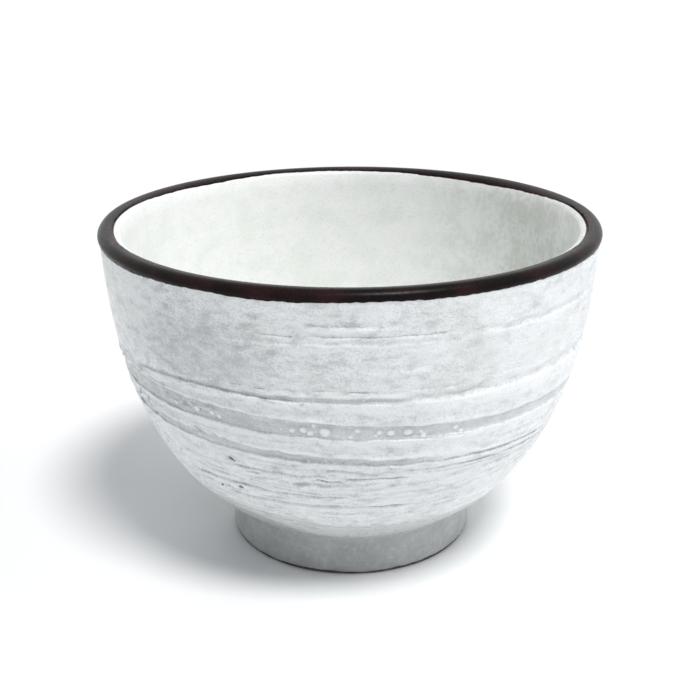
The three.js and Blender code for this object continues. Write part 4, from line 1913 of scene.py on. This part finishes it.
@dataclass
class FootRing(Coat):
    """The bare clay ring that the bowl stands on.

    Attributes:
        outline: The bowl's outline.
        bore: Radius of its hollow, in millimetres.
        clay_drop: How far its face lies behind the foot's glaze.
        height: Its height.
        edge_round: Radius of its rounded edges.
        dent: Mean depth of the dents in those edges.
        steps: Flat faces in a turn.
    """

    NODE = "foot_ring"
    SLOT = Slot.BARE_CLAY

    outline: Outline
    bore: float = 23.0
    clay_drop: float = 0.15
    height: float = 6.5
    edge_round: float = 0.4
    dent: float = 0.05
    steps: int = 240

    def build(self) -> Piece:
        """Turns the ring from its rounded section.

        Returns:
            The ring's piece.
        """
        outer = self.outline.foot_radius - self.clay_drop
        angle = np.linspace(0.0, math.pi / 2.0, 7)
        across = self.edge_round * (1.0 - np.cos(angle))
        up = self.edge_round * (1.0 - np.sin(angle))
        sole = np.linspace(self.bore + self.edge_round, outer - self.edge_round, 6)[1:-1]
        face = np.vstack((
            (self.bore, self.height * 0.5),
            np.column_stack((self.bore + across, up)),
            np.column_stack((sole, np.zeros_like(sole))),
            np.column_stack((outer - across, up))[::-1],
            (outer, self.height * 0.5),
        ))
        back = np.array(((outer, self.height), (self.bore, self.height)))
        piece = Turning(face, back, self.steps).finish("foot_ring_clay", crease=80.0)
        near_sole = piece.is_face & (piece.height < self.edge_round * 1.05)
        dent = self.dent * (1.0 + ragged(piece.turn, 13, 6, 40)) * eased(piece.height, 0.05, 0.5)
        middle = (self.bore + outer) / 2.0
        inwards = np.sign(middle - piece.radius) * dent
        places = np.column_stack((piece.radius + inwards, piece.height))
        piece.move(places[near_sole], near_sole)
        return piece


@dataclass
class WellCoat(Coat):
    """The grey coat in the hollow inside the foot ring.

    Attributes:
        radius: Radius of its face, in millimetres.
        roof: Height of its flat roof.
        bare_edge: Height up to which the clay stays bare.
        thickness: Its thickness.
        corner: Radius of the corner under the roof.
        spiral: Half the depth of the turning rings.
        steps: Flat faces in a turn.
    """

    NODE = "foot_well_glaze"
    SLOT = Slot.WELL_GLAZE

    radius: float = 22.5
    roof: float = 6.0
    bare_edge: float = 1.2
    thickness: float = 0.46
    corner: float = 1.6
    spiral: float = 0.05
    steps: int = 208

    def build(self) -> Piece:
        """Turns the coat, with faint turning rings on its roof.

        Returns:
            The coat's piece, with its marks.
        """
        angle = np.linspace(0.0, math.pi / 2.0, 9)
        bend = np.column_stack((
            self.radius - self.corner * (1.0 - np.cos(angle)),
            self.roof - self.corner * (1.0 - np.sin(angle)),
        ))
        side = np.linspace(self.bare_edge, self.roof - self.corner, 8)[:-1]
        flat = np.linspace(self.radius - self.corner, 0.0, 48)[1:]
        face = np.vstack((
            np.column_stack((np.full_like(side, self.radius), side)),
            bend,
            np.column_stack((flat, np.full_like(flat, self.roof))),
        ))[::-1]
        outer = self.radius + self.thickness
        top = self.roof + self.thickness
        side_back = ((outer, self.bare_edge), (outer, 4.0), (outer, top))
        back = np.array((*side_back, (self.radius * 0.5, top), (0.0, top)))
        piece = Turning(face, back, self.steps).finish("foot_well_glaze_coat")
        roof = piece.is_face & (piece.height > self.roof - 0.01) & (piece.radius > 0.5)
        rings = np.sin(piece.radius * 2.4 + piece.turn) * eased(self.radius - piece.radius, 2.0, 5.0)
        places = np.column_stack((piece.radius, piece.height + self.spiral * rings - self.spiral))
        piece.move(places[roof], roof)
        piece.mark(Mark.EDGE, 1.0 - eased(piece.height, self.bare_edge, self.bare_edge + 0.8))
        return piece


@dataclass
class ClayBody:
    """The thrown clay under the coats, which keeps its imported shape.

    Attributes:
        finish: Its clay.
        node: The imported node.
    """

    finish: FiredClay
    node: str = "stoneware_body"

    def dress(self) -> bpy.types.Object:
        """Gives the packed clay its finish.

        Returns:
            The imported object.
        """
        thing = bpy.data.objects[self.node]
        material = self.finish.material()
        if thing.material_slots:
            for slot in thing.material_slots:
                slot.material = material
        else:
            thing.data.materials.append(material)
        return thing


@dataclass(frozen=True)
class Lamp:
    """A soft lamp far from the bowl.

    Attributes:
        name: The lamp's name.
        bearing: Where it stands, in degrees from the bowl's right towards its back.
        elevation: How high it stands, in degrees.
        strength: Its strength.
        spread: Its width as seen from the bowl, in degrees.
        mirrored: Whether it shows as a highlight.
    """

    name: str
    bearing: float
    elevation: float
    strength: float
    spread: float
    mirrored: bool = True

    def hang(self) -> None:
        """Makes the lamp and points it at the bowl."""
        data = bpy.data.lights.new(self.name, "SUN")
        data.energy = self.strength
        data.angle = math.radians(self.spread)
        bearing = math.radians(self.bearing)
        elevation = math.radians(self.elevation)
        level = math.cos(elevation)
        place = Vector((level * math.cos(bearing), level * math.sin(bearing), math.sin(elevation)))
        thing = bpy.data.objects.new(self.name, data)
        thing.location = place
        thing.rotation_euler = place.to_track_quat("Z", "Y").to_euler()
        thing.visible_glossy = self.mirrored
        bpy.context.scene.collection.objects.link(thing)


@dataclass
class Studio:
    """A plain pale floor, a high lamp, three low soft lamps and an even surround.

    Attributes:
        floor_half: Half the floor's width, in metres.
        floor_white: The floor's colour.
        floor_roughness: The floor's roughness.
        floor_gloss: Its specular level.
        surround: Light of the surround, a little cool.
        lamps: The lamps.
    """

    floor_half: float = 12.0
    floor_white: Colour = shade(0.985, 0.985, 0.985)
    floor_roughness: float = 0.9
    floor_gloss: float = 0.5
    surround: Colour = shade(0.236, 0.251, 0.266)
    lamps: tuple[Lamp, ...] = (
        Lamp("high_lamp", 303.0, 64.0, 2.05, 17.0),
        Lamp("side_lamp", 0.0, 20.0, 0.84, 35.0, False),
        Lamp("back_lamp", 90.0, 20.0, 0.79, 35.0, False),
        Lamp("edge_lamp", 140.0, 7.0, 0.6, 12.0, False),
    )

    def build(self) -> None:
        """Makes the floor, the lamps and the surround."""
        self.lay_floor()
        for lamp in self.lamps:
            lamp.hang()
        self.light_surround()

    def lay_floor(self) -> None:
        """Lays the floor that takes the bowl's shadow."""
        mesh = bmesh.new()
        bmesh.ops.create_grid(mesh, x_segments=2, y_segments=2, size=self.floor_half)
        data = bpy.data.meshes.new("floor")
        mesh.to_mesh(data)
        mesh.free()
        floor = bpy.data.objects.new("floor", data)
        bpy.context.scene.collection.objects.link(floor)
        bench = NodeBench("pale_floor", self.floor_white)
        data.materials.append(bench.shaded(self.floor_roughness, self.floor_gloss))

    def light_surround(self) -> None:
        """Makes the surround white to look at and in reflections, and even as a light."""
        world = bpy.data.worlds.new("surround")
        world.use_nodes = True
        bpy.context.scene.world = world
        tree = world.node_tree
        back = tree.nodes["Background"]
        path = tree.nodes.new("ShaderNodeLightPath")
        seen = path.outputs["Is Camera Ray"]
        for ray in ("Is Glossy Ray", "Is Transmission Ray"):
            either = tree.nodes.new("ShaderNodeMath")
            either.operation = "MAXIMUM"
            tree.links.new(seen, either.inputs[0])
            tree.links.new(path.outputs[ray], either.inputs[1])
            seen = either.outputs[0]
        mix = tree.nodes.new("ShaderNodeMixRGB")
        mix.inputs["Color1"].default_value = self.surround
        mix.inputs["Color2"].default_value = shade(1.0, 1.0, 1.0)
        tree.links.new(seen, mix.inputs["Fac"])
        tree.links.new(mix.outputs["Color"], back.inputs["Color"])


@dataclass
class Viewpoint:
    """The camera in front of the bowl and above it.

    Attributes:
        place: Where it stands, in millimetres.
        pitch: How far it looks down, in degrees.
        roll: How far it leans, in degrees.
        lens: Its focal length, in millimetres.
        sensor: Its sensor's width.
    """

    place: tuple[float, float, float] = (-0.08, -247.5, 135.4)
    pitch: float = 20.55
    roll: float = -0.24
    lens: float = 58.73
    sensor: float = 36.0

    def build(self) -> None:
        """Makes the camera and gives it to the scene."""
        data = bpy.data.cameras.new("viewpoint")
        data.lens = self.lens
        data.sensor_width = self.sensor
        data.clip_start = 0.01
        data.clip_end = 100.0
        camera = bpy.data.objects.new("viewpoint", data)
        tilt = Matrix.Rotation(math.radians(90.0 - self.pitch), 4, "X")
        lean = Matrix.Rotation(math.radians(self.roll), 4, "Z")
        camera.matrix_world = Matrix.Translation(Vector(self.place) * MM) @ tilt @ lean
        bpy.context.scene.collection.objects.link(camera)
        bpy.context.scene.camera = camera


def main() -> None:
    """Builds the bowl's pieces in order, then its stage, and reports each piece."""
    bpy.context.scene.view_settings.view_transform = "Standard"
    Viewpoint().build()
    outline = Outline.from_frame()
    parts = (
        OuterCoat(PaleGlaze(), outline),
        RimBand(IronGlaze(), outline),
        Liner(LinerGlaze(), outline),
        FootCoat(GreyGlaze(Slot.GREY_GLAZE.value), outline),
        FootRing(FiredClay(Slot.BARE_CLAY.value), outline),
        WellCoat(GreyGlaze(Slot.WELL_GLAZE.value)),
    )
    for part in parts:
        thing = part.dress(part.build())
        faces = sum(len(polygon.vertices) - 2 for polygon in thing.data.polygons)
        LOG.info("%s: %d triangles", thing.name, faces)
    clay = ClayBody(FiredClay(Slot.STONEWARE.value)).dress()
    LOG.info("%s: packed shape kept", clay.name)
    Studio().build()


if __name__ == "__main__":
    logging.basicConfig(level=logging.INFO, format="%(message)s")
    main()
